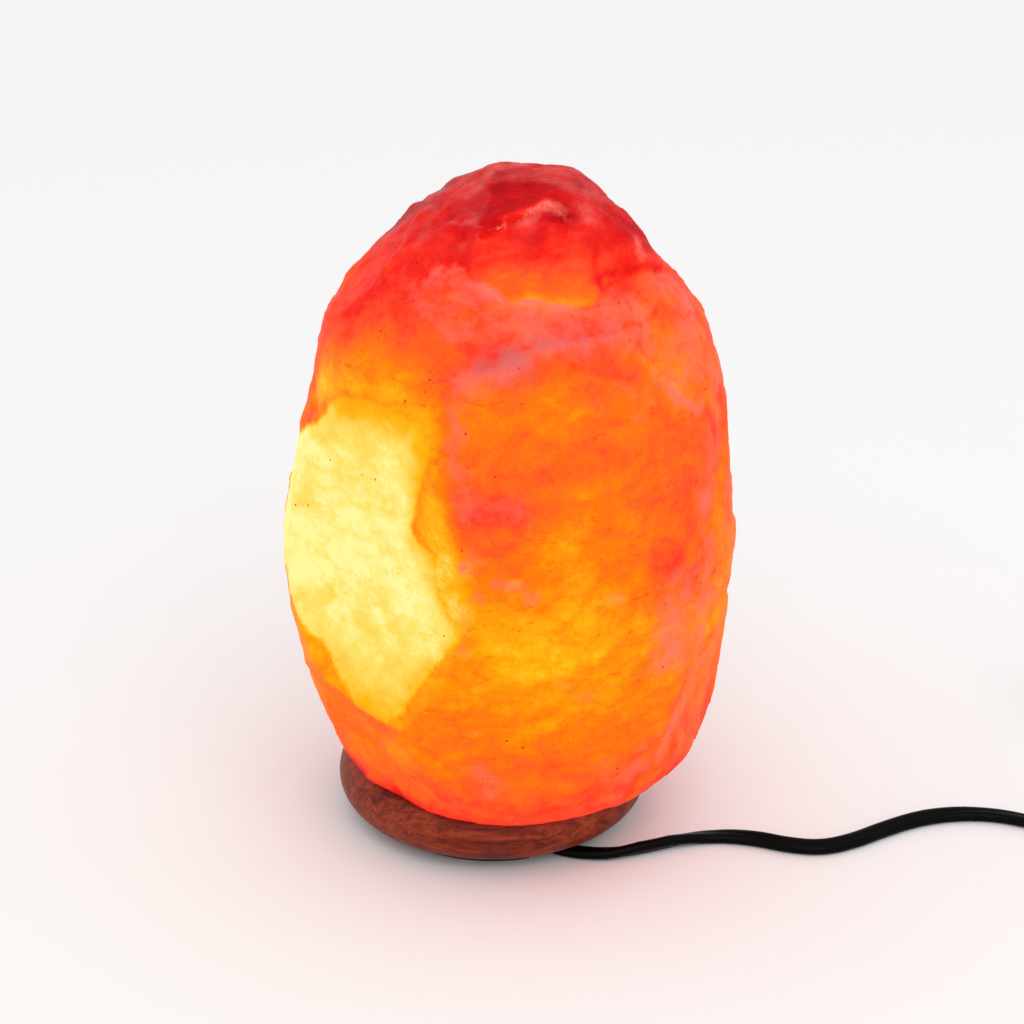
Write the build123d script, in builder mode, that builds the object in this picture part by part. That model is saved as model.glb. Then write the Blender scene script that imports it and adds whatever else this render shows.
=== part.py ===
"""Salt crystal lamp: a bored block of rock salt on a turned wooden base, with a bulb fitting
that pushes in from below, a flat flex with an in-line rocker switch, and a two-pin plug.

Millimetres, +Z up. The origin is on the base's axis, at the surface that the foot pad stands on.
+X is to the lamp's right and -Y to its front.
"""
from build123d import *
import os
from math import cos, hypot, pi, radians, sin, sqrt, tan

os.makedirs("parts", exist_ok=True)

# ---------- foot pad and wooden base ----------
foot_pad_thickness = 3.0
base_thickness = 20.0
base_bottom = foot_pad_thickness
base_top = base_bottom + base_thickness
lamp_bore_radius = 23.0
recess_radius = 28.0
recess_depth = 10.0
foot_ring_width = 12.0
base_flat_radius = recess_radius + foot_ring_width
base_edge_radius = base_thickness / 2
base_radius = base_flat_radius + base_edge_radius
recess_ceiling = base_bottom + recess_depth
foot_pad_margin = 1.5
foot_pad_gap = 16.0

# ---------- cord channel under the base ----------
channel_angle = -61.0
channel_width = 14.0
channel_depth = 4.0
channel_reach = base_flat_radius + 3.2

# ---------- screws between base and crystal ----------
base_screw_count = 3
base_screw_circle = recess_radius + foot_ring_width / 2
base_screw_radius = 2.0
base_screw_hole_radius = 2.3
base_screw_head_radius = 4.0
base_screw_head_height = 2.4
base_screw_sink = 5.0
base_screw_sink_radius = 4.5
base_screw_length = 34.0
wall_plug_radius = 4.0
wall_plug_length = 24.0
wall_plug_lip = 0.2
first_base_screw_angle = channel_angle + 60

# ---------- crystal ----------
lamp_bore_depth = 88.0
lamp_bore_tip = 12.0
# One row for each level: height over the base, left and right reach, front and back reach.
crystal_levels = (
    (0, -41, 52, -54, 43),
    (5, -47.5, 62.5, -61.5, 50),
    (20, -54.5, 70.5, -65.5, 57),
    (45, -62, 73.5, -69, 61),
    (70, -65, 75.5, -71, 63),
    (95, -63.5, 74.5, -69, 62),
    (120, -57, 72, -63, 60),
    (143, -53.5, 67, -55, 56),
    (153, -50, 62, -50, 52),
    (163, -42, 54, -42.5, 47),
    (174, -31, 45.5, -33, 41),
    (183, -17, 37, -22, 34),
    (188, -6, 30, -11, 27),
    (191, 2, 20, 0, 18),
)
# One row for each face that a flake has left: its deepest point, the way that it faces, its radius.
crystal_faces = (
    # front left, the broad thin-walled face
    ((-39, -41, 100), (-0.66, -0.746, 0.084), 600),
    # the dished shelf under the summit, in three bites
    ((4.8, -26.2, 197.3), (0.037, -0.651, 0.758), 60),
    ((22.1, -24.7, 195.8), (0.231, -0.633, 0.739), 50),
    ((35.7, -19.6, 192.7), (0.564, -0.512, 0.648), 55),
    # the summit's front, and its left
    ((5.9, -10.3, 208.9), (-0.099, -0.308, 0.946), 60),
    ((-35, 3, 188), (-0.72, -0.06, 0.69), 200),
    # right shoulder, then the lower right
    ((51.8, -28.9, 171.2), (0.703, -0.527, 0.478), 80),
    ((69.6, -22, 79), (0.914, -0.354, -0.196), 300),
    # lower left
    ((-38.5, -41.5, 48.7), (-0.68, -0.64, -0.36), 400),
    # back, from the summit down
    ((10, 36.3, 191), (0.05, 0.66, 0.75), 200),
    ((43.8, 27.5, 176.8), (0.66, 0.42, 0.62), 200),
    ((-37, 30, 168), (-0.62, 0.55, 0.56), 260),
    ((-55, 14, 134), (-0.93, 0.22, 0.28), 400),
    ((-30.5, 49.3, 116), (-0.5, 0.86, 0.08), 400),
    ((60, 29, 130), (0.8, 0.58, 0.16), 400),
    ((38, 51, 80), (0.52, 0.85, -0.04), 500),
    ((0, 54, 45), (-0.02, 0.95, -0.3), 400),
    ((-58, 25, 66), (-0.9, 0.42, -0.14), 400),
    ((60.5, 24.5, 43), (0.86, 0.4, -0.32), 300),
    ((-36.5, 33.5, 42), (-0.72, 0.6, -0.35), 300),
)

# ---------- bulb fitting ----------
plate_thickness = 1.2
plate_gap = 0.2
plate_margin = 0.8
plate_radius = recess_radius - plate_margin
plate_top = recess_ceiling - plate_gap
plate_bottom = plate_top - plate_thickness
thread_gap = 0.05
nipple_radius = 5.0
nipple_bore_radius = 3.8
nut_across_flats = 14.0
nut_thickness = 2.5
nipple_below_nut = 0.7
nipple_bottom = plate_bottom - nut_thickness - nipple_below_nut
nipple_above_cap = 2.0

clamp_angle = -73.0
clamp_reach = (9.7, 15.9)
clamp_width = 20.0
clamp_screw_spacing = 14.6
clamp_screw_radius = 1.3
clamp_screw_head_radius = 2.2
clamp_screw_head_height = 1.4
clamp_wall = 1.2

clip_count = 3
first_clip_angle = clamp_angle + 60
clip_thickness = 0.6
clip_width = 8.0
clip_foot_inner = 15.5
clip_clearance = 0.3
clip_height = 28.0
rivet_radius = 1.5
rivet_head_radius = 2.4
rivet_head_height = 0.8

cap_height = 13.0
cap_wall = 2.0
cap_foot_radius = 8.5
holder_radius = 14.5
barrel_height = 25.0
barrel_lip_radius = 9.6
barrel_lip_height = 1.5
core_height = 7.0
core_gap = 0.2
core_collar_height = 4.0
core_collar_wall = 1.4
cap_bottom = plate_top
cap_top = cap_bottom + cap_height
cap_floor = cap_bottom + 2.5
barrel_top = cap_top + barrel_height
core_top = cap_top + core_height

# ---------- bulb (small screw cap, 13.9 mm thread) ----------
bulb_thread_radius = 6.95
bulb_thread_pitch = 2.82
bulb_thread_count = 4
bulb_thread_depth = 0.45
sleeve_gap = 0.2
sleeve_wall = 0.4
sleeve_length = 15.0
bulb_seat = core_top + 1.8
bulb_length = 62.0
bulb_top = bulb_seat + bulb_length
bulb_contact_radius = 2.5
bulb_contact_height = 1.5
bulb_insulator_height = 1.8
bulb_cap_wall = 0.25
bulb_cap_length = 14.0
bulb_radius = 14.0
bulb_neck_height = 3.0
bulb_neck_flare = 1.2
bulb_shoulder_height = 12.0
bulb_shoulder_inset = 2.6
bulb_crown_height = 19.0
bulb_crown_drop = 5.5
bulb_crown_inset = 4.2
bulb_neck_gap = 0.25
bulb_glass_wall = 0.7
bulb_cap_bore = bulb_thread_radius - bulb_thread_depth - bulb_cap_wall
bulb_neck_radius = bulb_cap_bore - bulb_neck_gap
bulb_cap_bottom = bulb_seat + bulb_contact_height + bulb_insulator_height
bulb_cap_top = bulb_cap_bottom + bulb_cap_length
bulb_glass_bottom = bulb_cap_top - 2.0
stem_radius = 2.2
stem_height = 10.0
filament_height = 26.0
filament_spread = 6.0
support_wire_radius = 0.3
filament_wire_radius = 0.25

# ---------- cord: flat two-core flex ----------
cord_width = 5.4
cord_thickness = 3.4
core_wire_radius = 0.9
core_wire_spacing = 2.4
floor_height = cord_thickness / 2
clamp_height = 4.6

# From the clamp, under the base and over the floor to the switch.
lead_route = (
    (3.07, -10.04, clamp_height),
    (5.99, -19.6, clamp_height),
    (11.8, -27.6, 3.3),
    (19.6, -33.5, floor_height),
    (29.6, -37.2, floor_height),
    (40.2, -37.2, floor_height),
    (51.0, -33.3, floor_height),
    (62.0, -28.2, floor_height),
    (73.0, -26.0, floor_height),
    (84.5, -28.4, floor_height),
    (94.5, -32.6, floor_height),
    (104.6, -34.2, floor_height),
    (115.0, -30.1, floor_height),
    (126.0, -22.4, floor_height),
    (138.0, -15.6, floor_height),
    (151.0, -12.2, floor_height),
    (164.0, -13.0, floor_height),
    (177.0, -18.6, floor_height),
    (189.5, -27.2, floor_height),
    (202.0, -36.6, 2.6),
    (215.0, -43.4, 5.2),
    (228.5, -46.0, 7.5),
    (240.0, -46.0, 7.5),
)
# The cord crosses from the base to the open floor in the middle of this run of the route.
base_exit_index = 3

# From the switch to the coil.
bridge_route = (
    (284.0, -46.0, 7.5),
    (295.0, -46.0, 7.5),
    (307.4, -42.2, 5.5),
    (319.4, -33.2, 3.0),
    (328.1, -19.8, floor_height),
    (332.2, -4.3, floor_height),
    (332.2, 17.5, floor_height),
)

# ---------- put-away coil ----------
coil_turns = 7.25
coil_inner_radius = 21.5
coil_pitch = 6.1
coil_layer_step = 4.05
coil_reverse_start = 3.5
coil_reverse_turns = 0.5
coil_dip = coil_pitch * coil_reverse_turns / 4
coil_start_radius = coil_inner_radius + coil_dip + coil_pitch * coil_reverse_start
coil_centre = Vector(
    bridge_route[-1][0] - coil_start_radius,
    bridge_route[-1][1] + cord_width,
    floor_height,
)

# ---------- in-line switch ----------
switch_length = 56.0
switch_width = 23.0
switch_height = 15.0
switch_wall = 1.6
switch_corner = 7.0
switch_edge = 2.0
switch_half = switch_height / 2
switch_x = (lead_route[-1][0] + bridge_route[0][0]) / 2
switch_y = lead_route[-1][1]
rocker_pivot_height = 11.5
rocker_tilt = 9.0
rocker_radius = 10.1
rocker_width = 10.6
rocker_gap = 0.3
rocker_crown = 3.2
rocker_pin_radius = 1.0
rocker_pin_clearance = 0.05
lug_thickness = 1.6
lug_length = 5.0
blade_thickness = 0.5
blade_depth = 3.8
blade_half_length = 6.5
blade_width = 4.0
contact_gap = 0.15
shell_screw_offset = (15.0, 7.2)
shell_screw_radius = 1.2
shell_screw_head_radius = 2.0
shell_screw_head_height = 1.6
boss_radius = 2.6

# ---------- plug (flat two-pin, 4 mm pins, 19 mm apart) ----------
strain_relief_length = 20.0
strain_relief_small_radius = 3.4
strain_relief_large_radius = 5.2
plug_length = 36.0
plug_width = 35.3
plug_thickness = 13.7
plug_entry_width = 13.0
plug_face_width = 26.0
plug_waist_length = 9.0
plug_waist_width = 18.0
plug_shoulder_length = 22.0
plug_nose_length = 6.0
plug_edge = 2.5
plug_pin_radius = 2.0
plug_pin_length = 19.0
plug_pin_spacing = 19.0
plug_pin_root = 8.0
pin_sleeve_length = 10.0
pin_shank_radius = 1.5
plug_height = plug_thickness / 2


# ---------- shared helpers ----------
def corner_radii(points):
    """The radius for each corner: 0.45 of the shorter run over the tangent of half the turn."""
    radii = []
    for before, corner, after in zip(points, points[1:], points[2:]):
        run_in = Vector(corner) - Vector(before)
        run_out = Vector(after) - Vector(corner)
        half_turn = radians(run_in.get_angle(run_out)) / 2
        radii.append(0.45 * min(run_in.length, run_out.length) / tan(half_turn))
    return radii


def section_plane(start, heading):
    """The plane across a flex at its start, with its X axis level."""
    heading = Vector(heading).normalized()
    level = Vector(-heading.Y, heading.X, 0).normalized()
    return Plane(origin=Vector(start), x_dir=level, z_dir=heading)


def flex_area():
    """The area of the flex's flat, round-sided section."""
    return (cord_width - cord_thickness) * cord_thickness + pi * (cord_thickness / 2) ** 2


def path_length(path):
    """The length of a drawn path."""
    return sum(edge.length for edge in path.edges())


def report_tube(name, solid, path, radii):
    """Prints a flex's radii and sets its volume against its section times its length."""
    length = path_length(path)
    share = solid.volume / (flex_area() * length)
    tightest = min(radii) if radii else 0
    print(f"{name}: length {length:.1f}, tightest radius {tightest:.1f}, volume share {share:.4f}")
    print("   radii", " ".join(f"{radius:.0f}" for radius in radii))


def around(radius, angle, height=0.0):
    """A point at this radius and angle about the lamp's axis."""
    return Vector(radius * cos(radians(angle)), radius * sin(radians(angle)), height)


# ---------- foot pad: a rubber ring with a gap for the cord ----------
with BuildPart() as foot_pad:
    with BuildSketch(Plane.XY):
        Circle(base_flat_radius - foot_pad_margin / 2)
        Circle(recess_radius + foot_pad_margin, mode=Mode.SUBTRACT)
        with Locations(Location((0, 0, 0), (0, 0, channel_angle))):
            Rectangle(2 * base_radius, foot_pad_gap, align=(Align.MIN, Align.CENTER), mode=Mode.SUBTRACT)
    extrude(amount=foot_pad_thickness)
    chamfer(foot_pad.edges().group_by(Axis.Z)[0], 0.4)
foot_pad.part.label = "foot_pad"
export_step(foot_pad.part, "parts/foot_pad.step")

# ---------- wooden base: a turned disc with a full-round edge ----------
with BuildPart() as wooden_base:
    with BuildSketch(Plane.XZ):
        with BuildLine():
            Polyline(
                (base_flat_radius, base_bottom),
                (lamp_bore_radius, base_bottom),
                (lamp_bore_radius, base_top),
                (base_flat_radius, base_top),
            )
            ThreePointArc(
                (base_flat_radius, base_top),
                (base_radius, (base_bottom + base_top) / 2),
                (base_flat_radius, base_bottom),
            )
        make_face()
    revolve(axis=Axis.Z)
    with BuildSketch(Plane.XY.offset(base_bottom)):
        Circle(recess_radius)
    extrude(amount=recess_depth, mode=Mode.SUBTRACT)
    with BuildSketch(Plane.XY.offset(base_bottom)):
        Circle(channel_reach)
        with Locations(Location((0, 0, 0), (0, 0, channel_angle))):
            Rectangle(base_radius, channel_width, align=(Align.MIN, Align.CENTER), mode=Mode.INTERSECT)
    extrude(amount=channel_depth, mode=Mode.SUBTRACT)
    with Locations(Plane.XY.offset(base_bottom).rotated((180, 0, 0))):
        with PolarLocations(base_screw_circle, base_screw_count, start_angle=-first_base_screw_angle):
            CounterBoreHole(base_screw_hole_radius, base_screw_sink_radius, base_screw_sink)
wooden_base.part.label = "wooden_base"
export_step(wooden_base.part, "parts/wooden_base.step")

# ---------- screws up through the base, and the nylon plugs that they bite in ----------
screw_head_bottom = base_bottom + base_screw_sink - base_screw_head_height
with BuildPart() as base_screws:
    with PolarLocations(base_screw_circle, base_screw_count, start_angle=first_base_screw_angle):
        with Locations((0, 0, screw_head_bottom)):
            Cylinder(
                base_screw_head_radius,
                base_screw_head_height,
                align=(Align.CENTER, Align.CENTER, Align.MIN),
            )
            Cylinder(base_screw_radius, base_screw_length, align=(Align.CENTER, Align.CENTER, Align.MIN))
base_screws.part.label = "base_screws"
export_step(base_screws.part, "parts/base_screws.step")

with BuildPart() as wall_plugs:
    with PolarLocations(base_screw_circle, base_screw_count, start_angle=first_base_screw_angle):
        with Locations((0, 0, base_top)):
            Cylinder(wall_plug_radius, wall_plug_length, align=(Align.CENTER, Align.CENTER, Align.MIN))
            Cylinder(
                base_screw_radius,
                wall_plug_length,
                align=(Align.CENTER, Align.CENTER, Align.MIN),
                mode=Mode.SUBTRACT,
            )
wall_plugs.part.label = "wall_plugs"
export_step(wall_plugs.part, "parts/wall_plugs.step")

# ---------- salt crystal: a lofted block with flaked faces and the lamp bore ----------
with BuildPart() as salt_crystal:
    for height, left, right, front, back in crystal_levels:
        with BuildSketch(Plane.XY.offset(base_top + height)):
            with Locations(((left + right) / 2, (front + back) / 2)):
                Ellipse((right - left) / 2, (back - front) / 2)
    loft()
    for deepest, facing, radius in crystal_faces:
        with Locations(Vector(deepest) + Vector(facing).normalized() * radius):
            Sphere(radius, mode=Mode.SUBTRACT)
    with BuildSketch(Plane.XZ):
        with BuildLine():
            Polyline(
                (0, base_top),
                (lamp_bore_radius, base_top),
                (lamp_bore_radius, base_top + lamp_bore_depth),
                (0, base_top + lamp_bore_depth + lamp_bore_tip),
                close=True,
            )
        make_face()
    revolve(axis=Axis.Z, mode=Mode.SUBTRACT)
    with PolarLocations(base_screw_circle, base_screw_count, start_angle=first_base_screw_angle):
        with Locations((0, 0, base_top)):
            Cylinder(
                wall_plug_radius,
                wall_plug_length,
                align=(Align.CENTER, Align.CENTER, Align.MIN),
                mode=Mode.SUBTRACT,
            )
salt_crystal.part.label = "salt_crystal"
export_step(salt_crystal.part, "parts/salt_crystal.step")
print("crystal", len(salt_crystal.part.solids()), "solid, volume", round(salt_crystal.part.volume))


# ---------- bulb fitting: the plate, its clips and the threaded tube ----------
clip_angles = [first_clip_angle + turn * 360 / clip_count for turn in range(clip_count)]
rivet_circle = (clip_foot_inner + lamp_bore_radius - clip_clearance - clip_thickness) / 2 - 1.2
clamp_screw_place = (clamp_reach[0] + clamp_reach[1]) / 2

with BuildPart() as holder_plate:
    with BuildSketch(Plane.XY.offset(plate_bottom)):
        Circle(plate_radius)
        Circle(nipple_radius + thread_gap, mode=Mode.SUBTRACT)
        with PolarLocations(rivet_circle, clip_count, start_angle=first_clip_angle):
            Circle(rivet_radius, mode=Mode.SUBTRACT)
        with Locations(Location((0, 0, 0), (0, 0, clamp_angle))):
            with Locations((clamp_screw_place, 0)):
                with GridLocations(0, clamp_screw_spacing, 1, 2):
                    Circle(clamp_screw_radius, mode=Mode.SUBTRACT)
    extrude(amount=plate_thickness)
holder_plate.part.label = "holder_plate"
export_step(holder_plate.part, "parts/holder_plate.step")

clip_outer = lamp_bore_radius - clip_clearance - clip_thickness / 2
with BuildPart() as spring_clips:
    for angle in clip_angles:
        clip_plane = Plane(
            origin=(0, 0, plate_top),
            x_dir=around(1, angle),
            z_dir=around(1, angle - 90),
        )
        with BuildSketch(clip_plane):
            with BuildLine() as clip_line:
                FilletPolyline(
                    (clip_foot_inner, clip_thickness / 2),
                    (clip_outer - 1.4, clip_thickness / 2),
                    (clip_outer - 1.4, clip_height * 0.4),
                    (clip_outer, clip_height * 0.65),
                    (clip_outer - 3.6, clip_height),
                    radius=1.2,
                )
            trace(line_width=clip_thickness)
        extrude(amount=clip_width / 2, both=True)
        with Locations(Plane(origin=around(rivet_circle, angle, plate_top))):
            Cylinder(rivet_radius, 4 * clip_thickness, mode=Mode.SUBTRACT)
spring_clips.part.label = "spring_clips"
export_step(spring_clips.part, "parts/spring_clips.step")

with BuildPart() as clip_rivets:
    with PolarLocations(rivet_circle, clip_count, start_angle=first_clip_angle):
        with Locations((0, 0, plate_bottom - rivet_head_height)):
            Cylinder(
                rivet_radius,
                plate_thickness + clip_thickness + 2 * rivet_head_height,
                align=(Align.CENTER, Align.CENTER, Align.MIN),
            )
            Cylinder(rivet_head_radius, rivet_head_height, align=(Align.CENTER, Align.CENTER, Align.MIN))
        with Locations((0, 0, plate_top + clip_thickness)):
            Cylinder(rivet_head_radius, rivet_head_height, align=(Align.CENTER, Align.CENTER, Align.MIN))
clip_rivets.part.label = "clip_rivets"
export_step(clip_rivets.part, "parts/clip_rivets.step")

with BuildPart() as nipple:
    with BuildSketch(Plane.XY.offset(nipple_bottom)):
        Circle(nipple_radius)
        Circle(nipple_bore_radius, mode=Mode.SUBTRACT)
    extrude(amount=cap_floor + nipple_above_cap - nipple_bottom)
    chamfer(nipple.edges().filter_by(GeomType.CIRCLE).sort_by(SortBy.RADIUS)[-2:], 0.5)
nipple.part.label = "nipple"
export_step(nipple.part, "parts/nipple.step")

with BuildPart() as nipple_nut:
    with BuildSketch(Plane.XY.offset(plate_bottom - nut_thickness)):
        RegularPolygon(nut_across_flats / 2, 6, major_radius=False)
        Circle(nipple_radius + thread_gap, mode=Mode.SUBTRACT)
    extrude(amount=nut_thickness)
nipple_nut.part.label = "nipple_nut"
export_step(nipple_nut.part, "parts/nipple_nut.step")

# ---------- cord clamp under the plate ----------
clamp_bottom = clamp_height - cord_thickness / 2 - clamp_wall
clamp_plane = Plane(origin=(0, 0, clamp_bottom), x_dir=around(1, clamp_angle), z_dir=(0, 0, 1))
clamp_slot_plane = Plane(
    origin=around(clamp_reach[0], clamp_angle, clamp_height),
    x_dir=around(1, clamp_angle + 90),
    z_dir=around(1, clamp_angle),
)
clamp_length = clamp_reach[1] - clamp_reach[0]
cord_slot_gap = 0.2
with BuildPart() as cord_clamp:
    with BuildSketch(clamp_plane):
        with Locations((clamp_screw_place, 0)):
            RectangleRounded(clamp_length, clamp_width, 1.5)
    extrude(amount=plate_bottom - clamp_bottom)
    with BuildSketch(clamp_slot_plane):
        Rectangle(cord_width + 2 * cord_slot_gap, cord_thickness + 2 * cord_slot_gap)
    extrude(amount=clamp_length, mode=Mode.SUBTRACT)
    with BuildSketch(clamp_plane):
        with Locations((clamp_screw_place, 0)):
            with GridLocations(0, clamp_screw_spacing, 1, 2):
                Circle(clamp_screw_radius)
    extrude(amount=plate_bottom - clamp_bottom, mode=Mode.SUBTRACT)
    with BuildSketch(clamp_plane):
        with Locations((clamp_screw_place, 0)):
            with GridLocations(0, clamp_screw_spacing, 1, 2):
                Circle(clamp_screw_head_radius)
    extrude(amount=clamp_screw_head_height, mode=Mode.SUBTRACT)
cord_clamp.part.label = "cord_clamp"
export_step(cord_clamp.part, "parts/cord_clamp.step")

with BuildPart() as clamp_screws:
    with BuildSketch(clamp_plane):
        with Locations((clamp_screw_place, 0)):
            with GridLocations(0, clamp_screw_spacing, 1, 2):
                Circle(clamp_screw_head_radius)
    extrude(amount=clamp_screw_head_height)
    with BuildSketch(clamp_plane):
        with Locations((clamp_screw_place, 0)):
            with GridLocations(0, clamp_screw_spacing, 1, 2):
                Circle(clamp_screw_radius)
    extrude(amount=plate_top - clamp_bottom)
clamp_screws.part.label = "clamp_screws"
export_step(clamp_screws.part, "parts/clamp_screws.step")

# ---------- lamp holder: cap, barrel, insulating core and contacts ----------
with BuildPart() as holder_cap:
    with BuildSketch(Plane.XZ):
        with BuildLine():
            Polyline(
                (nipple_radius + thread_gap, cap_bottom),
                (cap_foot_radius, cap_bottom),
                (holder_radius, cap_bottom + cap_height / 2),
                (holder_radius, cap_top),
                (holder_radius - cap_wall, cap_top),
                (holder_radius - cap_wall, cap_bottom + cap_height / 2 + cap_wall / 2),
                (cap_foot_radius - cap_wall / 2, cap_floor),
                (nipple_radius + thread_gap, cap_floor),
                close=True,
            )
        make_face()
    revolve(axis=Axis.Z)
holder_cap.part.label = "holder_cap"
export_step(holder_cap.part, "parts/holder_cap.step")

with BuildPart() as holder_barrel:
    with BuildSketch(Plane.XZ):
        with BuildLine():
            Polyline(
                (holder_radius - cap_wall, cap_top),
                (holder_radius, cap_top),
                (holder_radius, barrel_top - 1),
                (holder_radius - 1, barrel_top),
                (barrel_lip_radius, barrel_top),
                (barrel_lip_radius, barrel_top - barrel_lip_height),
                (holder_radius - cap_wall, barrel_top - barrel_lip_height),
                close=True,
            )
        make_face()
    revolve(axis=Axis.Z)
holder_barrel.part.label = "holder_barrel"
export_step(holder_barrel.part, "parts/holder_barrel.step")

sleeve_inner = bulb_thread_radius + sleeve_gap
sleeve_outer = sleeve_inner + sleeve_wall
side_contact_thickness = 0.6
collar_inner = sleeve_outer + side_contact_thickness + 0.1
terminal_circle = 8.5
terminal_angle = clamp_angle + 90
terminal_screw_radius = 1.3
terminal_head_radius = 2.4
terminal_head_height = 1.8
with BuildPart() as holder_core:
    with BuildSketch(Plane.XY.offset(cap_top)):
        Circle(holder_radius - cap_wall - core_gap)
        with PolarLocations(terminal_circle, 2, start_angle=terminal_angle):
            Circle(terminal_screw_radius, mode=Mode.SUBTRACT)
    extrude(amount=core_height)
    with BuildSketch(Plane.XY.offset(core_top)):
        Circle(collar_inner + core_collar_wall)
        Circle(collar_inner, mode=Mode.SUBTRACT)
    extrude(amount=core_collar_height)
holder_core.part.label = "holder_core"
export_step(holder_core.part, "parts/holder_core.step")

with BuildPart() as thread_sleeve:
    with BuildSketch(Plane.XY.offset(core_top)):
        Circle(sleeve_outer)
        Circle(sleeve_inner, mode=Mode.SUBTRACT)
    extrude(amount=sleeve_length)
thread_sleeve.part.label = "thread_sleeve"
export_step(thread_sleeve.part, "parts/thread_sleeve.step")

with BuildPart() as centre_contact:
    with BuildSketch(Plane.XZ):
        with BuildLine():
            FilletPolyline(
                (-5.5, core_top + 0.3),
                (-2.6, core_top + 0.3),
                (-1.4, bulb_seat - 0.3),
                (2.0, bulb_seat - 0.3),
                radius=0.6,
            )
        trace(line_width=0.6)
    extrude(amount=2.0, both=True)
centre_contact.part.label = "centre_contact"
export_step(centre_contact.part, "parts/centre_contact.step")

with BuildPart() as side_contact:
    with BuildSketch(Plane.XY.offset(core_top)):
        Circle(sleeve_outer + side_contact_thickness)
        Circle(sleeve_outer, mode=Mode.SUBTRACT)
        with Locations(Location((0, 0, 0), (0, 0, terminal_angle))):
            Rectangle(2 * holder_radius, 5.0, align=(Align.MIN, Align.CENTER), mode=Mode.INTERSECT)
    extrude(amount=sleeve_length * 0.6)
side_contact.part.label = "side_contact"
export_step(side_contact.part, "parts/side_contact.step")

with BuildPart() as terminal_screws:
    with PolarLocations(terminal_circle, 2, start_angle=terminal_angle):
        with Locations((0, 0, cap_top - terminal_head_height)):
            Cylinder(
                terminal_head_radius,
                terminal_head_height,
                align=(Align.CENTER, Align.CENTER, Align.MIN),
            )
            Cylinder(
                terminal_screw_radius,
                terminal_head_height + core_height - 1,
                align=(Align.CENTER, Align.CENTER, Align.MIN),
            )
terminal_screws.part.label = "terminal_screws"
export_step(terminal_screws.part, "parts/terminal_screws.step")

wire_start = Vector(lead_route[0]) - around(0.3, clamp_angle)
wire_side = around(1, terminal_angle)
wire_level = cap_top - terminal_head_height / 2
wire_end_radius = terminal_circle - terminal_head_radius - 0.05
with BuildPart() as holder_wires:
    for side in (-1, 1):
        offset_side = wire_side * (side * core_wire_spacing / 2)
        wire_points = (
            wire_start + offset_side,
            offset_side + Vector(0, 0, clamp_height),
            offset_side + Vector(0, 0, wire_level),
            wire_side * (side * wire_end_radius) + Vector(0, 0, wire_level),
        )
        with BuildLine() as wire_path:
            FilletPolyline(*wire_points, radius=(3.6, 2.2))
        wire_plane = Plane(origin=wire_points[0], z_dir=wire_points[1] - wire_points[0])
        with BuildSketch(wire_plane):
            Circle(core_wire_radius)
        sweep(path=wire_path.line)
holder_wires.part.label = "holder_wires"
export_step(holder_wires.part, "parts/holder_wires.step")


# ---------- bulb ----------
def glass_outline(inset):
    """Half of the glass's outline, drawn in by a wall's thickness."""
    return (
        (bulb_neck_radius - inset, bulb_glass_bottom),
        (bulb_neck_radius + bulb_neck_flare - inset, bulb_cap_top + bulb_neck_height),
        (bulb_radius - bulb_shoulder_inset - inset, bulb_cap_top + bulb_shoulder_height),
        (bulb_radius - inset, bulb_top - bulb_crown_height),
        (bulb_radius - bulb_crown_inset - inset * 0.8, bulb_top - bulb_crown_drop - inset * 0.8),
        (0, bulb_top - inset),
    )


with BuildPart() as bulb_glass:
    with BuildSketch(Plane.XZ):
        with BuildLine():
            outer = Spline(*glass_outline(0), tangents=((0, 1), (-1, 0)))
            inner = Spline(*glass_outline(bulb_glass_wall), tangents=((0, 1), (-1, 0)))
            Line(outer @ 0, inner @ 0)
            Line(outer @ 1, inner @ 1)
        make_face()
    revolve(axis=Axis.Z)
bulb_glass.part.label = "bulb_glass"
export_step(bulb_glass.part, "parts/bulb_glass.step")

cap_outer = bulb_thread_radius - bulb_thread_depth
with BuildPart() as bulb_cap:
    with BuildSketch(Plane.XZ):
        with BuildLine():
            ridge_start = bulb_cap_bottom + 1.0
            Line((cap_outer, bulb_cap_bottom), (cap_outer, ridge_start))
            for ridge in range(bulb_thread_count):
                low = ridge_start + ridge * bulb_thread_pitch
                ThreePointArc(
                    (cap_outer, low),
                    (bulb_thread_radius, low + bulb_thread_pitch / 2),
                    (cap_outer, low + bulb_thread_pitch),
                )
            ridge_end = ridge_start + bulb_thread_count * bulb_thread_pitch
            Polyline(
                (cap_outer, ridge_end),
                (cap_outer, bulb_cap_top),
                (bulb_cap_bore, bulb_cap_top),
                (bulb_cap_bore, bulb_cap_bottom),
                (cap_outer, bulb_cap_bottom),
            )
        make_face()
    revolve(axis=Axis.Z)
bulb_cap.part.label = "bulb_cap"
export_step(bulb_cap.part, "parts/bulb_cap.step")

with BuildPart() as bulb_insulator:
    with BuildSketch(Plane.XZ):
        with BuildLine():
            Polyline(
                (0, bulb_seat + bulb_contact_height),
                (bulb_contact_radius + 0.6, bulb_seat + bulb_contact_height),
                (cap_outer, bulb_cap_bottom),
                (0, bulb_cap_bottom),
                close=True,
            )
        make_face()
    revolve(axis=Axis.Z)
bulb_insulator.part.label = "bulb_insulator"
export_step(bulb_insulator.part, "parts/bulb_insulator.step")

with BuildPart() as bulb_contact:
    with Locations((0, 0, bulb_seat)):
        Cylinder(bulb_contact_radius, bulb_contact_height, align=(Align.CENTER, Align.CENTER, Align.MIN))
    fillet(bulb_contact.edges().group_by(Axis.Z)[0], 0.8)
bulb_contact.part.label = "bulb_contact"
export_step(bulb_contact.part, "parts/bulb_contact.step")

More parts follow.
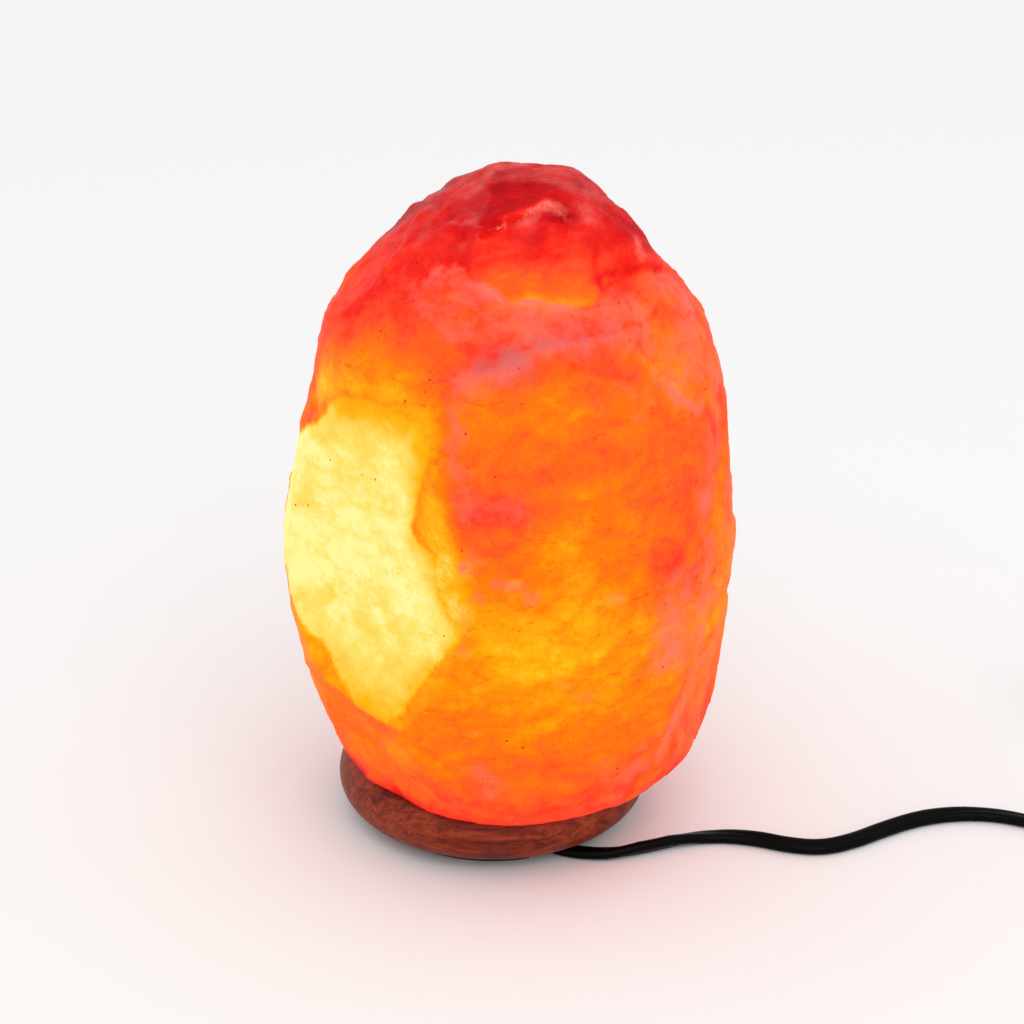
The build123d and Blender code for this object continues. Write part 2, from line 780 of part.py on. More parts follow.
stem_top = bulb_cap_top + stem_height
filament_level = bulb_cap_top + filament_height
with BuildPart() as bulb_stem:
    with Locations((0, 0, bulb_glass_bottom)):
        Cone(
            bulb_neck_radius - bulb_glass_wall - 0.1,
            stem_radius,
            4,
            align=(Align.CENTER, Align.CENTER, Align.MIN),
        )
    with Locations((0, 0, bulb_glass_bottom + 4)):
        Cylinder(
            stem_radius,
            stem_top - bulb_glass_bottom - 4,
            align=(Align.CENTER, Align.CENTER, Align.MIN),
        )
bulb_stem.part.label = "bulb_stem"
export_step(bulb_stem.part, "parts/bulb_stem.step")

with BuildPart() as filament_supports:
    for side in (-1, 1):
        with BuildLine() as support_path:
            FilletPolyline(
                (side * (stem_radius - 2 * support_wire_radius), 0, stem_top),
                (side * (stem_radius - 2 * support_wire_radius), 0, stem_top + 3),
                (side * filament_spread, 0, filament_level),
                radius=3.0,
            )
        with BuildSketch(Plane.XY.offset(stem_top)):
            with Locations((side * (stem_radius - 2 * support_wire_radius), 0)):
                Circle(support_wire_radius)
        sweep(path=support_path.line)
filament_supports.part.label = "filament_supports"
export_step(filament_supports.part, "parts/filament_supports.step")

filament_lift = support_wire_radius + filament_wire_radius
with BuildPart() as filament:
    with BuildLine() as filament_path:
        ThreePointArc(
            (-filament_spread, 0, filament_level + filament_lift),
            (0, filament_spread, filament_level + filament_lift),
            (filament_spread, 0, filament_level + filament_lift),
        )
    with BuildSketch(Plane(origin=filament_path.line @ 0, z_dir=filament_path.line % 0)):
        Circle(filament_wire_radius)
    sweep()
filament.part.label = "filament"
export_step(filament.part, "parts/filament.step")


# ---------- cord: five stretches of one flat flex, each swept from its end on the floor ----------
base_exit = (Vector(lead_route[base_exit_index]) + Vector(lead_route[base_exit_index + 1])) * 0.5
in_base_points = [base_exit] + [Vector(point) for point in lead_route[base_exit_index::-1]]
lead_points = [base_exit] + [Vector(point) for point in lead_route[base_exit_index + 1 :]]
bridge_points = [Vector(point) for point in reversed(bridge_route)]
route_radii = corner_radii(lead_route)
in_base_radii = route_radii[base_exit_index - 1 :: -1]
lead_radii = route_radii[base_exit_index:]

with BuildPart() as cord_in_base:
    with BuildLine() as in_base_path:
        FilletPolyline(*in_base_points, radius=in_base_radii)
    with BuildSketch(section_plane(in_base_points[0], in_base_points[1] - in_base_points[0])):
        SlotOverall(cord_width, cord_thickness)
    sweep(path=in_base_path.line)
cord_in_base.part.label = "cord_in_base"
export_step(cord_in_base.part, "parts/cord_in_base.step")
report_tube("cord_in_base", cord_in_base.part, in_base_path, in_base_radii)

with BuildPart() as cord_lead:
    with BuildLine() as lead_path:
        FilletPolyline(*lead_points, radius=lead_radii)
    with BuildSketch(section_plane(lead_points[0], lead_points[1] - lead_points[0])):
        SlotOverall(cord_width, cord_thickness)
    sweep(path=lead_path.line)
cord_lead.part.label = "cord_lead"
export_step(cord_lead.part, "parts/cord_lead.step")
report_tube("cord_lead", cord_lead.part, lead_path, lead_radii)

bridge_radii = corner_radii(bridge_points)
with BuildPart() as cord_bridge:
    with BuildLine() as bridge_path:
        FilletPolyline(*bridge_points, radius=bridge_radii)
    with BuildSketch(section_plane(bridge_points[0], bridge_points[1] - bridge_points[0])):
        SlotOverall(cord_width, cord_thickness)
    sweep(path=bridge_path.line)
cord_bridge.part.label = "cord_bridge"
export_step(cord_bridge.part, "parts/cord_bridge.step")
report_tube("cord_bridge", cord_bridge.part, bridge_path, bridge_radii)


def coil_point(turn):
    """The coil's centre line: in at a steady rate, up a layer in the half turn that reverses, out."""
    reverse_middle = coil_reverse_start + coil_reverse_turns / 2
    reverse_end = coil_reverse_start + coil_reverse_turns
    if turn < coil_reverse_start:
        radius = coil_start_radius - coil_pitch * turn
        lift = 0.0
    elif turn < reverse_end:
        radius = coil_inner_radius + coil_pitch / coil_reverse_turns * (turn - reverse_middle) ** 2
        share = (turn - coil_reverse_start) / coil_reverse_turns
        lift = coil_layer_step * share * share * (3 - 2 * share)
    else:
        radius = coil_inner_radius + coil_dip + coil_pitch * (turn - reverse_end)
        lift = coil_layer_step
    return coil_centre + around(radius, 360 * turn, lift)


def coil_heading(turn):
    """The direction of the coil's centre line, a unit vector."""
    small = 0.001
    return (coil_point(turn + small) - coil_point(turn - small)).normalized()


def arc_pair(start, start_heading, end, end_heading):
    """The point where two arcs, tangent to both headings and to each other, meet."""
    chord = end - start
    both = start_heading + end_heading
    slack = 2 * (1 - start_heading.dot(end_heading))
    reach = (sqrt(chord.dot(both) ** 2 + slack * chord.dot(chord)) - chord.dot(both)) / slack
    return (start + start_heading * reach + end - end_heading * reach) * 0.5


def coil_gap():
    """The least gap between turns, for a section that is a level line with a round edge."""
    step = 1 / 120
    count = round(coil_turns / step)
    flat_half = cord_width - cord_thickness
    points = [coil_point(index * step) for index in range(count + 1)]
    least = cord_width
    for index, point in enumerate(points):
        for other in points[index + round(0.6 / step) :]:
            level = hypot(point.X - other.X, point.Y - other.Y)
            rise = abs(point.Z - other.Z)
            least = min(least, hypot(max(0, level - flat_half), rise) - cord_thickness)
    return least


coil_start = coil_point(0)
coil_start_heading = Vector(0, 1, 0)
coil_lead_in = coil_start - coil_start_heading * cord_width
coil_end = coil_point(coil_turns)
coil_end_heading = around(1, 360 * coil_turns + 90)
coil_lead_out = coil_end + coil_end_heading * cord_width
quarter_turns = [quarter / 4 for quarter in range(round(coil_turns * 4) + 1)]
with BuildPart() as cord_coil:
    with BuildLine() as coil_path:
        Line(coil_lead_in, coil_start)
        for turn, next_turn in zip(quarter_turns, quarter_turns[1:]):
            start = coil_point(turn)
            end = coil_point(next_turn)
            start_heading = coil_start_heading if turn == 0 else coil_heading(turn)
            end_heading = coil_end_heading if next_turn == coil_turns else coil_heading(next_turn)
            middle = arc_pair(start, start_heading, end, end_heading)
            first_arc = TangentArc(start, middle, tangent=start_heading)
            TangentArc(middle, end, tangent=first_arc % 1)
        Line(coil_end, coil_lead_out)
    with BuildSketch(section_plane(coil_lead_in, coil_start_heading)):
        SlotOverall(cord_width, cord_thickness)
    sweep(path=coil_path.line)
cord_coil.part.label = "cord_coil"
export_step(cord_coil.part, "parts/cord_coil.step")
report_tube("cord_coil", cord_coil.part, coil_path, [])
print(f"cord_coil: turns {coil_turns}, least gap {coil_gap():.2f}")

# From the coil's end to the plug: steps along the lamp's right, back and up axes.
tail_rise = plug_height - floor_height - coil_layer_step
tail_steps = ((-6, 0, 0), (-6, 0.6, tail_rise), (-6, 0, 0))
tail_points = [coil_lead_out]
for step in tail_steps:
    tail_points.append(tail_points[-1] + Vector(step))
tail_radii = corner_radii(tail_points)
with BuildPart() as cord_tail:
    with BuildLine() as tail_path:
        FilletPolyline(*tail_points, radius=tail_radii)
    with BuildSketch(section_plane(tail_points[0], tail_points[1] - tail_points[0])):
        SlotOverall(cord_width, cord_thickness)
    sweep(path=tail_path.line)
cord_tail.part.label = "cord_tail"
export_step(cord_tail.part, "parts/cord_tail.step")
report_tube("cord_tail", cord_tail.part, tail_path, tail_radii)
paths = (in_base_path, lead_path, bridge_path, coil_path, tail_path)
print(f"cord in all {sum(path_length(path) for path in paths):.0f}")

# ---------- in-line switch: two shells, a rocker on its pin, and the contacts ----------
rocker_pivot = Vector(switch_x, switch_y, rocker_pivot_height)
rocker_pin_plane = Plane(origin=rocker_pivot, x_dir=(1, 0, 0), z_dir=(0, 1, 0))
switch_plane = Plane(origin=(switch_x, switch_y, 0))
switch_split = Plane(origin=(switch_x, switch_y, switch_half))
cord_mouth_plane = Plane(origin=(switch_x, switch_y, switch_half), x_dir=(0, 1, 0), z_dir=(1, 0, 0))
inner_half_height = switch_half - switch_wall
rocker_opening = rocker_radius + rocker_gap
rocker_slot_width = rocker_width + 2 * rocker_gap
lug_middle = rocker_slot_width / 2 + lug_thickness / 2
screw_places = [(side * shell_screw_offset[0], -side * shell_screw_offset[1]) for side in (-1, 1)]

with BuildPart() as switch_lower_shell:
    with BuildSketch(switch_plane):
        RectangleRounded(switch_length, switch_width, switch_corner)
    extrude(amount=switch_half)
    fillet(switch_lower_shell.edges().group_by(Axis.Z)[0], switch_edge)
    with BuildSketch(switch_plane.offset(switch_wall)):
        RectangleRounded(
            switch_length - 2 * switch_wall,
            switch_width - 2 * switch_wall,
            switch_corner - switch_wall,
        )
    extrude(amount=inner_half_height, mode=Mode.SUBTRACT)
    with BuildSketch(switch_plane):
        with Locations(*screw_places):
            Circle(boss_radius)
    extrude(amount=switch_half)
    with BuildSketch(switch_plane):
        with Locations(*screw_places):
            Circle(shell_screw_radius)
    extrude(amount=switch_half, mode=Mode.SUBTRACT)
    with BuildSketch(switch_plane):
        with Locations(*screw_places):
            Circle(shell_screw_head_radius)
    extrude(amount=shell_screw_head_height, mode=Mode.SUBTRACT)
    with BuildSketch(cord_mouth_plane):
        SlotOverall(cord_width, cord_thickness)
    extrude(amount=switch_length, both=True, mode=Mode.SUBTRACT)
switch_lower_shell.part.label = "switch_lower_shell"
export_step(switch_lower_shell.part, "parts/switch_lower_shell.step")

with BuildPart() as switch_upper_shell:
    with BuildSketch(switch_split):
        RectangleRounded(switch_length, switch_width, switch_corner)
    extrude(amount=switch_half)
    fillet(switch_upper_shell.edges().group_by(Axis.Z)[-1], switch_edge)
    with BuildSketch(switch_split):
        RectangleRounded(
            switch_length - 2 * switch_wall,
            switch_width - 2 * switch_wall,
            switch_corner - switch_wall,
        )
    extrude(amount=inner_half_height, mode=Mode.SUBTRACT)
    with BuildSketch(switch_split):
        with Locations(*screw_places):
            Circle(boss_radius)
        with GridLocations(0, 2 * lug_middle, 1, 2):
            Rectangle(lug_length, lug_thickness)
    extrude(amount=switch_half - switch_wall / 2)
    with BuildSketch(switch_split):
        with Locations(*screw_places):
            Circle(shell_screw_radius)
    extrude(amount=inner_half_height, mode=Mode.SUBTRACT)
    with BuildSketch(switch_split):
        Rectangle(2 * rocker_opening, rocker_slot_width)
    extrude(amount=switch_half, mode=Mode.SUBTRACT)
    with BuildSketch(cord_mouth_plane):
        SlotOverall(cord_width, cord_thickness)
    extrude(amount=switch_length, both=True, mode=Mode.SUBTRACT)
    with BuildSketch(rocker_pin_plane):
        Circle(rocker_pin_radius)
    extrude(amount=lug_middle + lug_thickness / 2, both=True, mode=Mode.SUBTRACT)
switch_upper_shell.part.label = "switch_upper_shell"
export_step(switch_upper_shell.part, "parts/switch_upper_shell.step")

with BuildPart() as shell_screws:
    with BuildSketch(switch_plane):
        with Locations(*screw_places):
            Circle(shell_screw_head_radius)
    extrude(amount=shell_screw_head_height)
    with BuildSketch(switch_plane):
        with Locations(*screw_places):
            Circle(shell_screw_radius)
    extrude(amount=switch_height - switch_wall - 1)
shell_screws.part.label = "shell_screws"
export_step(shell_screws.part, "parts/shell_screws.step")

# The rocker is drawn level and turned about its pin to the on position, where it rests.
rocker_plane = Plane(
    origin=rocker_pivot,
    x_dir=(cos(radians(rocker_tilt)), 0, -sin(radians(rocker_tilt))),
    z_dir=(0, -1, 0),
)
rocker_rise = rocker_crown + rocker_radius * tan(radians(rocker_tilt))
rocker_reach = sqrt(rocker_radius**2 - rocker_rise**2)
rocker_skirt = 0.8
skirt_reach = sqrt(rocker_radius**2 - rocker_skirt**2)
rocker_floor = -2.4
with BuildPart() as switch_rocker:
    with BuildSketch(rocker_plane):
        with BuildLine():
            Polyline((-rocker_reach, rocker_rise), (0, rocker_crown), (rocker_reach, rocker_rise))
            ThreePointArc((rocker_reach, rocker_rise), (rocker_radius, 0), (skirt_reach, -rocker_skirt))
            Polyline(
                (skirt_reach, -rocker_skirt),
                (lug_length, rocker_floor),
                (-lug_length, rocker_floor),
                (-skirt_reach, -rocker_skirt),
            )
            ThreePointArc((-skirt_reach, -rocker_skirt), (-rocker_radius, 0), (-rocker_reach, rocker_rise))
        make_face()
        Circle(rocker_pin_radius + rocker_pin_clearance, mode=Mode.SUBTRACT)
    extrude(amount=rocker_width / 2, both=True)
switch_rocker.part.label = "switch_rocker"
export_step(switch_rocker.part, "parts/switch_rocker.step")

with BuildPart() as rocker_pin:
    with BuildSketch(rocker_pin_plane):
        Circle(rocker_pin_radius)
    extrude(amount=lug_middle + lug_thickness / 2, both=True)
rocker_pin.part.label = "rocker_pin"
export_step(rocker_pin.part, "parts/rocker_pin.step")

with BuildPart() as contact_blade:
    with BuildSketch(rocker_plane):
        with Locations((0, -blade_depth)):
            Rectangle(2 * blade_half_length, blade_thickness)
        with Locations((0, (rocker_floor - blade_depth) / 2 + blade_thickness / 4)):
            Rectangle(3, rocker_floor + blade_depth - blade_thickness / 2)
    extrude(amount=blade_width / 2, both=True)
contact_blade.part.label = "contact_blade"
export_step(contact_blade.part, "parts/contact_blade.step")

# The blade's lowest corner at the on side sets the height of the contact under it.
blade_bottom = blade_depth + blade_thickness / 2
tilt = radians(rocker_tilt)
blade_low = rocker_pivot_height - blade_half_length * sin(tilt) - blade_bottom * cos(tilt)
contact_bar_thickness = 1.4
contact_post_length = 4.0
post_corner_drop = contact_post_length / 2 * tan(tilt)
blade_middle_low = rocker_pivot_height - blade_bottom / cos(tilt) - post_corner_drop
contact_floor = switch_wall
contact_barrel_height = 4.4


def contact_bar(direction, post_place, post_height):
    """A brass bar from under the blade to its terminal, with the post that the blade touches."""
    bar_end = direction * (switch_length / 2 - 9.5)
    bar_start = post_place - direction * contact_post_length / 2
    with BuildPart(mode=Mode.PRIVATE) as bar:
        with BuildSketch(switch_plane.offset(contact_floor)):
            with Locations(((bar_start + bar_end) / 2, 0)):
                Rectangle(abs(bar_end - bar_start), blade_width)
        extrude(amount=contact_bar_thickness)
        with BuildSketch(switch_plane.offset(contact_floor)):
            with Locations((post_place, 0)):
                Rectangle(contact_post_length, blade_width)
        extrude(amount=post_height - contact_floor)
        with BuildSketch(switch_plane.offset(contact_floor)):
            with Locations((bar_end - direction * 2.5, 0)):
                Rectangle(5, 5)
        extrude(amount=contact_barrel_height)
        with BuildSketch(switch_plane.offset(contact_floor)):
            with Locations((bar_end - direction * 2.5, 0)):
                Circle(shell_screw_radius)
        extrude(amount=contact_barrel_height, mode=Mode.SUBTRACT)
    return bar.part


with BuildPart() as contact_out:
    add(contact_bar(1, blade_half_length - contact_post_length / 2 + 0.4, blade_low - contact_gap))
contact_out.part.label = "contact_out"
export_step(contact_out.part, "parts/contact_out.step")

with BuildPart() as contact_in:
    add(contact_bar(-1, 0, blade_middle_low - contact_gap))
contact_in.part.label = "contact_in"
export_step(contact_in.part, "parts/contact_in.step")

contact_screw_place = switch_length / 2 - 12.0
with BuildPart() as contact_screws:
    with BuildSketch(switch_plane.offset(contact_floor)):
        with GridLocations(2 * contact_screw_place, 0, 2, 1):
            Circle(shell_screw_radius)
    extrude(amount=contact_barrel_height + 0.6)
    with BuildSketch(switch_plane.offset(contact_floor + contact_barrel_height)):
        with GridLocations(2 * contact_screw_place, 0, 2, 1):
            Circle(shell_screw_head_radius)
    extrude(amount=1.2)
contact_screws.part.label = "contact_screws"
export_step(contact_screws.part, "parts/contact_screws.step")

neutral_place = Vector(switch_x, switch_y + 3.55, switch_wall + 1.2)
with BuildPart() as neutral_link:
    with BuildSketch(Plane(origin=neutral_place, x_dir=(0, 1, 0), z_dir=(1, 0, 0))):
        Circle(core_wire_radius)
    extrude(amount=switch_length / 2 - switch_wall - 4.5, both=True)
neutral_link.part.label = "neutral_link"
export_step(neutral_link.part, "parts/neutral_link.step")

# ---------- plug: strain relief, body, insulated pins ----------
plug_entry = tail_points[-1]
plug_plane = Plane(origin=plug_entry, x_dir=coil_end_heading, z_dir=(0, 0, 1))
plug_axis_plane = Plane(origin=plug_entry, x_dir=(0, 1, 0), z_dir=coil_end_heading)
with BuildPart() as plug_strain_relief:
    with BuildSketch(plug_plane):
        with BuildLine():
            Polyline(
                (0, 0),
                (0, strain_relief_small_radius),
                (strain_relief_length, strain_relief_large_radius),
                (strain_relief_length, 0),
                close=True,
            )
        make_face()
    revolve(axis=Axis(plug_entry, coil_end_heading))
plug_strain_relief.part.label = "plug_strain_relief"
export_step(plug_strain_relief.part, "parts/plug_strain_relief.step")

plug_back = strain_relief_length
plug_face = plug_back + plug_length
plug_half_outline = (
    (plug_back, plug_entry_width / 2),
    (plug_back + plug_waist_length, plug_waist_width / 2),
    (plug_back + plug_shoulder_length, plug_width / 2),
    (plug_face - plug_nose_length, plug_width / 2),
    (plug_face, plug_face_width / 2),
)
pin_middle = plug_pin_spacing / 2
with BuildPart() as plug_body:
    with BuildSketch(plug_plane.offset(-plug_height)):
        with BuildLine():
            Polyline(
                *plug_half_outline,
                *[(along, -half) for along, half in reversed(plug_half_outline)],
                close=True,
            )
        make_face()
        fillet(vertices().group_by(Axis.Y)[1:-1], plug_edge)
    extrude(amount=plug_thickness)
    fillet(plug_body.edges().group_by(Axis.Z)[0] + plug_body.edges().group_by(Axis.Z)[-1], plug_edge)
    with BuildSketch(plug_axis_plane.offset(plug_face)):
        with GridLocations(plug_pin_spacing, 0, 2, 1):
            Circle(pin_shank_radius)
    extrude(amount=-plug_pin_root, mode=Mode.SUBTRACT)
plug_body.part.label = "plug_body"
export_step(plug_body.part, "parts/plug_body.step")

with BuildPart() as plug_pins:
    with BuildSketch(plug_axis_plane.offset(plug_face - plug_pin_root)):
        with GridLocations(plug_pin_spacing, 0, 2, 1):
            Circle(pin_shank_radius)
    extrude(amount=plug_pin_root + pin_sleeve_length)
    with BuildSketch(plug_axis_plane.offset(plug_face + pin_sleeve_length)):
        with GridLocations(plug_pin_spacing, 0, 2, 1):
            Circle(plug_pin_radius)
    extrude(amount=plug_pin_length - pin_sleeve_length)
    chamfer(plug_pins.edges().group_by(Axis.X)[0], 0.6)
plug_pins.part.label = "plug_pins"
export_step(plug_pins.part, "parts/plug_pins.step")

with BuildPart() as pin_sleeves:
    with BuildSketch(plug_axis_plane.offset(plug_face)):
        with GridLocations(plug_pin_spacing, 0, 2, 1):
            Circle(plug_pin_radius)
            Circle(pin_shank_radius, mode=Mode.SUBTRACT)
    extrude(amount=pin_sleeve_length)
pin_sleeves.part.label = "pin_sleeves"
export_step(pin_sleeves.part, "parts/pin_sleeves.step")
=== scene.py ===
"""The look of a salt crystal lamp: salt, turned wood, bulb fitting, flex, switch and plug."""
from math import cos, pi, radians, sin

import bmesh
import bpy
import numpy as np
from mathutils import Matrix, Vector, noise


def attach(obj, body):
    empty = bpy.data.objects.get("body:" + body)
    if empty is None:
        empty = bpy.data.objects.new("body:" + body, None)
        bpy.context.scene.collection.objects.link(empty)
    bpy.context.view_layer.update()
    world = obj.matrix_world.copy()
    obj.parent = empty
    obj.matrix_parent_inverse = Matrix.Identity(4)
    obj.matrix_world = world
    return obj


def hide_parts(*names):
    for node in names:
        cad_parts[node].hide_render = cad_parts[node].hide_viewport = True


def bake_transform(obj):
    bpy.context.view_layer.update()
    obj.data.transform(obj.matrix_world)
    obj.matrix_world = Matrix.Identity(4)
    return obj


bl_info = {
    "name": "Salt Crystal Lamp",
    "version": (1, 0, 0),
    "blender": (4, 5, 0),
    "location": "View3D > Sidebar > Salt Lamp",
    "description": "Dresses a salt crystal lamp in rock salt, dark wood, flex and metal",
    "category": "Object",
}

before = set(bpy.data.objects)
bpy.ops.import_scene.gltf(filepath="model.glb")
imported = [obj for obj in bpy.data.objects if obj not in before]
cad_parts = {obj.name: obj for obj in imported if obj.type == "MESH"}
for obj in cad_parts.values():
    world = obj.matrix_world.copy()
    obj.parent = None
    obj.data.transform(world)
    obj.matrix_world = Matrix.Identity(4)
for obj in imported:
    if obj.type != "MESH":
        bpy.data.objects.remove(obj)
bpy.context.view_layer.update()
mm_per_metre = 1000


# ---------- shader sums ----------
class Value:
    """A shader socket that takes part in written sums: each operator adds one Math node."""

    def __init__(self, finish, socket):
        self.finish = finish
        self.socket = socket

    def sum(self, operation, other):
        """One Math node on this value and another."""
        inputs = {0: self, 1: other}
        return self.finish.add("ShaderNodeMath", {"operation": operation}, inputs)

    def __add__(self, other):
        return self.sum("ADD", other)

    __radd__ = __add__

    def __sub__(self, other):
        return self.sum("SUBTRACT", other)

    def __rsub__(self, other):
        inputs = {0: other, 1: self}
        return self.finish.add("ShaderNodeMath", {"operation": "SUBTRACT"}, inputs)

    def __mul__(self, other):
        return self.sum("MULTIPLY", other)

    def capped(self):
        """The value held between 0 and 1."""
        return self.finish.add("ShaderNodeClamp", {}, {"Value": self})

    def between(self, low, high):
        """A smooth step from 0 at low to 1 at high."""
        inputs = {"Value": self, "From Min": low, "From Max": high}
        return self.finish.add("ShaderNodeMapRange", {"interpolation_type": "SMOOTHSTEP"}, inputs)


class Finish:
    """One material and the nodes that make it."""

    def __init__(self, name, **plain):
        self.material = bpy.data.materials.new(name)
        self.material.use_nodes = True
        self.tree = self.material.node_tree
        self.shader = self.tree.nodes["Principled BSDF"]
        self.place = Value(self, self.tree.nodes.new("ShaderNodeTexCoord").outputs["Object"])
        self.wear(**plain)

    def add(self, kind, settings, inputs, output=0):
        """Adds a node: its settings first, then the values or links of its sockets."""
        node = self.tree.nodes.new(kind)
        for key, setting in settings.items():
            setattr(node, key, setting)
        for key, value in inputs.items():
            self.feed(node.inputs[key], value)
        return Value(self, node.outputs[output])

    def feed(self, socket, value):
        """Links a value to a socket, or sets the socket to a plain number or colour."""
        if isinstance(value, Value):
            self.tree.links.new(value.socket, socket)
        else:
            socket.default_value = value

    def wear(self, **sockets):
        """Sets or links the shader's own sockets, named in lower case."""
        for key, value in sockets.items():
            name = key.replace("_", " ").title().replace("Ior", "IOR")
            self.feed(self.shader.inputs[name], value)

    def scaled(self, scale):
        """The place on the piece, stretched, for a pattern that runs one way."""
        return self.add("ShaderNodeMapping", {}, {"Vector": self.place, "Scale": scale})

    def cloud(self, scale, detail, rough=0.55, place=None, distortion=0.0):
        """Soft noise between 0 and 1; the scale is in patches to the metre."""
        inputs = {"Vector": place or self.place, "Scale": scale, "Detail": detail}
        inputs |= {"Roughness": rough, "Distortion": distortion}
        return self.add("ShaderNodeTexNoise", {}, inputs)

    def cells(self, scale):
        """Distance in a pattern of cells; the scale is in cells to the metre."""
        return self.add("ShaderNodeTexVoronoi", {}, {"Vector": self.place, "Scale": scale})

    def ramp(self, value, *stops):
        """A colour that runs through these stops, each a position and a hex colour."""
        tint = self.add("ShaderNodeValToRGB", {}, {0: value})
        elements = tint.socket.node.color_ramp.elements
        while len(elements) < len(stops):
            elements.new(0.5)
        for element, (position, colour) in zip(elements, stops):
            element.position = position
            element.color = shade(colour)
        return tint

    def mix(self, share, first, second, blend="MIX"):
        """One colour into another; a colour is a hex text or a link."""
        first = shade(first) if isinstance(first, str) else first
        second = shade(second) if isinstance(second, str) else second
        settings = {"data_type": "RGBA", "blend_type": blend, "clamp_factor": True}
        return self.add("ShaderNodeMix", settings, {0: share, 6: first, 7: second}, 2)

    def bump(self, height, depth, strength):
        """Raises the surface by this height times this depth in metres."""
        inputs = {"Height": height, "Distance": depth, "Strength": strength}
        return self.add("ShaderNodeBump", {}, inputs)

    def attribute(self, name):
        """A number painted on the piece's points."""
        return self.add("ShaderNodeAttribute", {"attribute_name": name}, {}, 2)


def channels(colour):
    """The red, green and blue of a hex colour, each from 0 to 255."""
    return [int(colour[index : index + 2], 16) for index in (1, 3, 5)]


def shade(colour):
    """A hex colour as the linear colour that the shader works in."""
    parts = [channel / 255 for channel in channels(colour)]
    linear = [
        part / 12.92 if part <= 0.04045 else ((part + 0.055) / 1.055) ** 2.4 for part in parts
    ]
    return (*linear, 1.0)


# ---------- small mesh helpers ----------
def clothe(piece, finish):
    """Gives a piece its finish, in the place of any that it has."""
    piece.data.materials.clear()
    piece.data.materials.append(finish.material)


def new_piece(name, data):
    """An object at the origin from a finished mesh, curve, light or camera."""
    piece = bpy.data.objects.new(name, data)
    bpy.context.scene.collection.objects.link(piece)
    return piece


def dress(finish, *nodes):
    """Gives carried-over parts their finish."""
    for node in nodes:
        clothe(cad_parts[node], finish)


def point_rows(mesh, key):
    """A vector of each of the mesh's points, as rows."""
    flat = np.empty(len(mesh.vertices) * 3)
    mesh.vertices.foreach_get(key, flat)
    return flat.reshape(-1, 3)


def coordinates(mesh):
    """The mesh's points as rows of millimetres."""
    return point_rows(mesh, "co") * mm_per_metre


def smoothstep(value, low, high):
    """A smooth step from 0 at low to 1 at high, for a number or a row of them."""
    share = np.clip((value - low) / (high - low), 0, 1)
    return share * share * (3 - 2 * share)


# ---------- crystal ----------
# Noise: how fast the octaves fade, and how much finer each one is than the last.
noise_fade = 0.9
noise_step = 2.1
cloud_octaves = 4
crest_octaves = 3
# Broken faces: how wide their seams are, how much they stand proud, and the factors that make
# each cell draw a lean and a height of its own.
seam_share = 0.12
proud_share = 0.25
lean_scatter = 5.17
proud_scatter = 3.3
facet_seed = 4


def noise_places(points, size, seed, steps):
    """The points in units of this size, moved so that each seed gives its own pattern."""
    shift = Vector([seed * step for step in steps])
    return [Vector(point) / size + shift for point in points]


def cell_facets(points, size, tilt, seed):
    """Heights of a surface broken into tilted faces about this size."""
    heights = np.empty(len(points))
    for index, place in enumerate(noise_places(points, size, seed, (3.1, 1.7, 5.3))):
        gaps, seeds = noise.voronoi(place)
        values = []
        for near in seeds[:2]:
            lean = noise.noise_vector(near * lean_scatter)
            proud = proud_share * noise.noise(near * proud_scatter)
            values.append((place - near).dot(lean) + proud)
        share = min(1.0, (gaps[1] - gaps[0]) / seam_share) * 0.5 + 0.5
        heights[index] = values[0] * share + values[1] * (1 - share)
    return heights * tilt * size


def rough(points, size, seed):
    """Cloudy heights about zero; the size is that of the largest lumps."""
    places = noise_places(points, size, seed, (2.3, 7.1, 1.9))
    return np.array([noise.fractal(spot, noise_fade, noise_step, cloud_octaves) for spot in places])


def ridged(points, size, seed):
    """Sharp-crested heights from 0 to about 1."""
    places = noise_places(points, size, seed, (4.7, 0.9, 3.1))
    settings = (noise_fade, noise_step, crest_octaves, 1.0, 2.0)
    return np.array([noise.ridged_multi_fractal(spot, *settings) for spot in places])


def stretch_distance(points, start, end):
    """Each point's distance from the straight stretch between two places."""
    offset = points - start
    run = end - start
    along = np.clip(offset @ run / (run @ run), 0, 1)
    return np.linalg.norm(offset - along[:, None] * run, axis=1)


def depth_inside(points, outline, facing):
    """How far each point lies inside an outline that is seen along a facing, in mm."""
    facing = Vector(facing).normalized()
    across = facing.cross(Vector((0, 0, 1))).normalized()
    axes = np.array((across, across.cross(facing))).T
    flat = points @ axes
    corners = np.array(outline, float) @ axes
    inside = np.zeros(len(points), bool)
    best = np.full(len(points), np.inf)
    for start, end in zip(corners, np.roll(corners, -1, axis=0)):
        best = np.minimum(best, stretch_distance(flat, start, end))
        run = end - start
        offset = flat - start
        crosses = (start[1] > flat[:, 1]) != (end[1] > flat[:, 1])
        left = offset[:, 0] * run[1] < offset[:, 1] * run[0]
        inside ^= crosses & (left ^ (run[1] < 0))
    return np.where(inside, best, -best)


def stroke_share(points, line, width):
    """How much of a stroke each point takes: 1 on its line, and less and less beside it."""
    line = np.array(line, float)
    if len(line) == 1:
        gap = np.linalg.norm(points - line[0], axis=1)
    else:
        stretches = zip(line, line[1:])
        gap = np.minimum.reduce([stretch_distance(points, *ends) for ends in stretches])
    return np.exp(-(gap / width) ** 2)


def draw_strokes(levels, points, strokes):
    """Brings the levels towards those of the strokes, one after another."""
    for level, strength, width, line in strokes:
        share = strength * stroke_share(points, line, width)
        levels += (level - levels) * share


def by_height(points, steps):
    """The level at each point's height, from a table of heights and levels."""
    heights, levels = zip(*steps)
    return np.interp(points[:, 2], heights, levels)


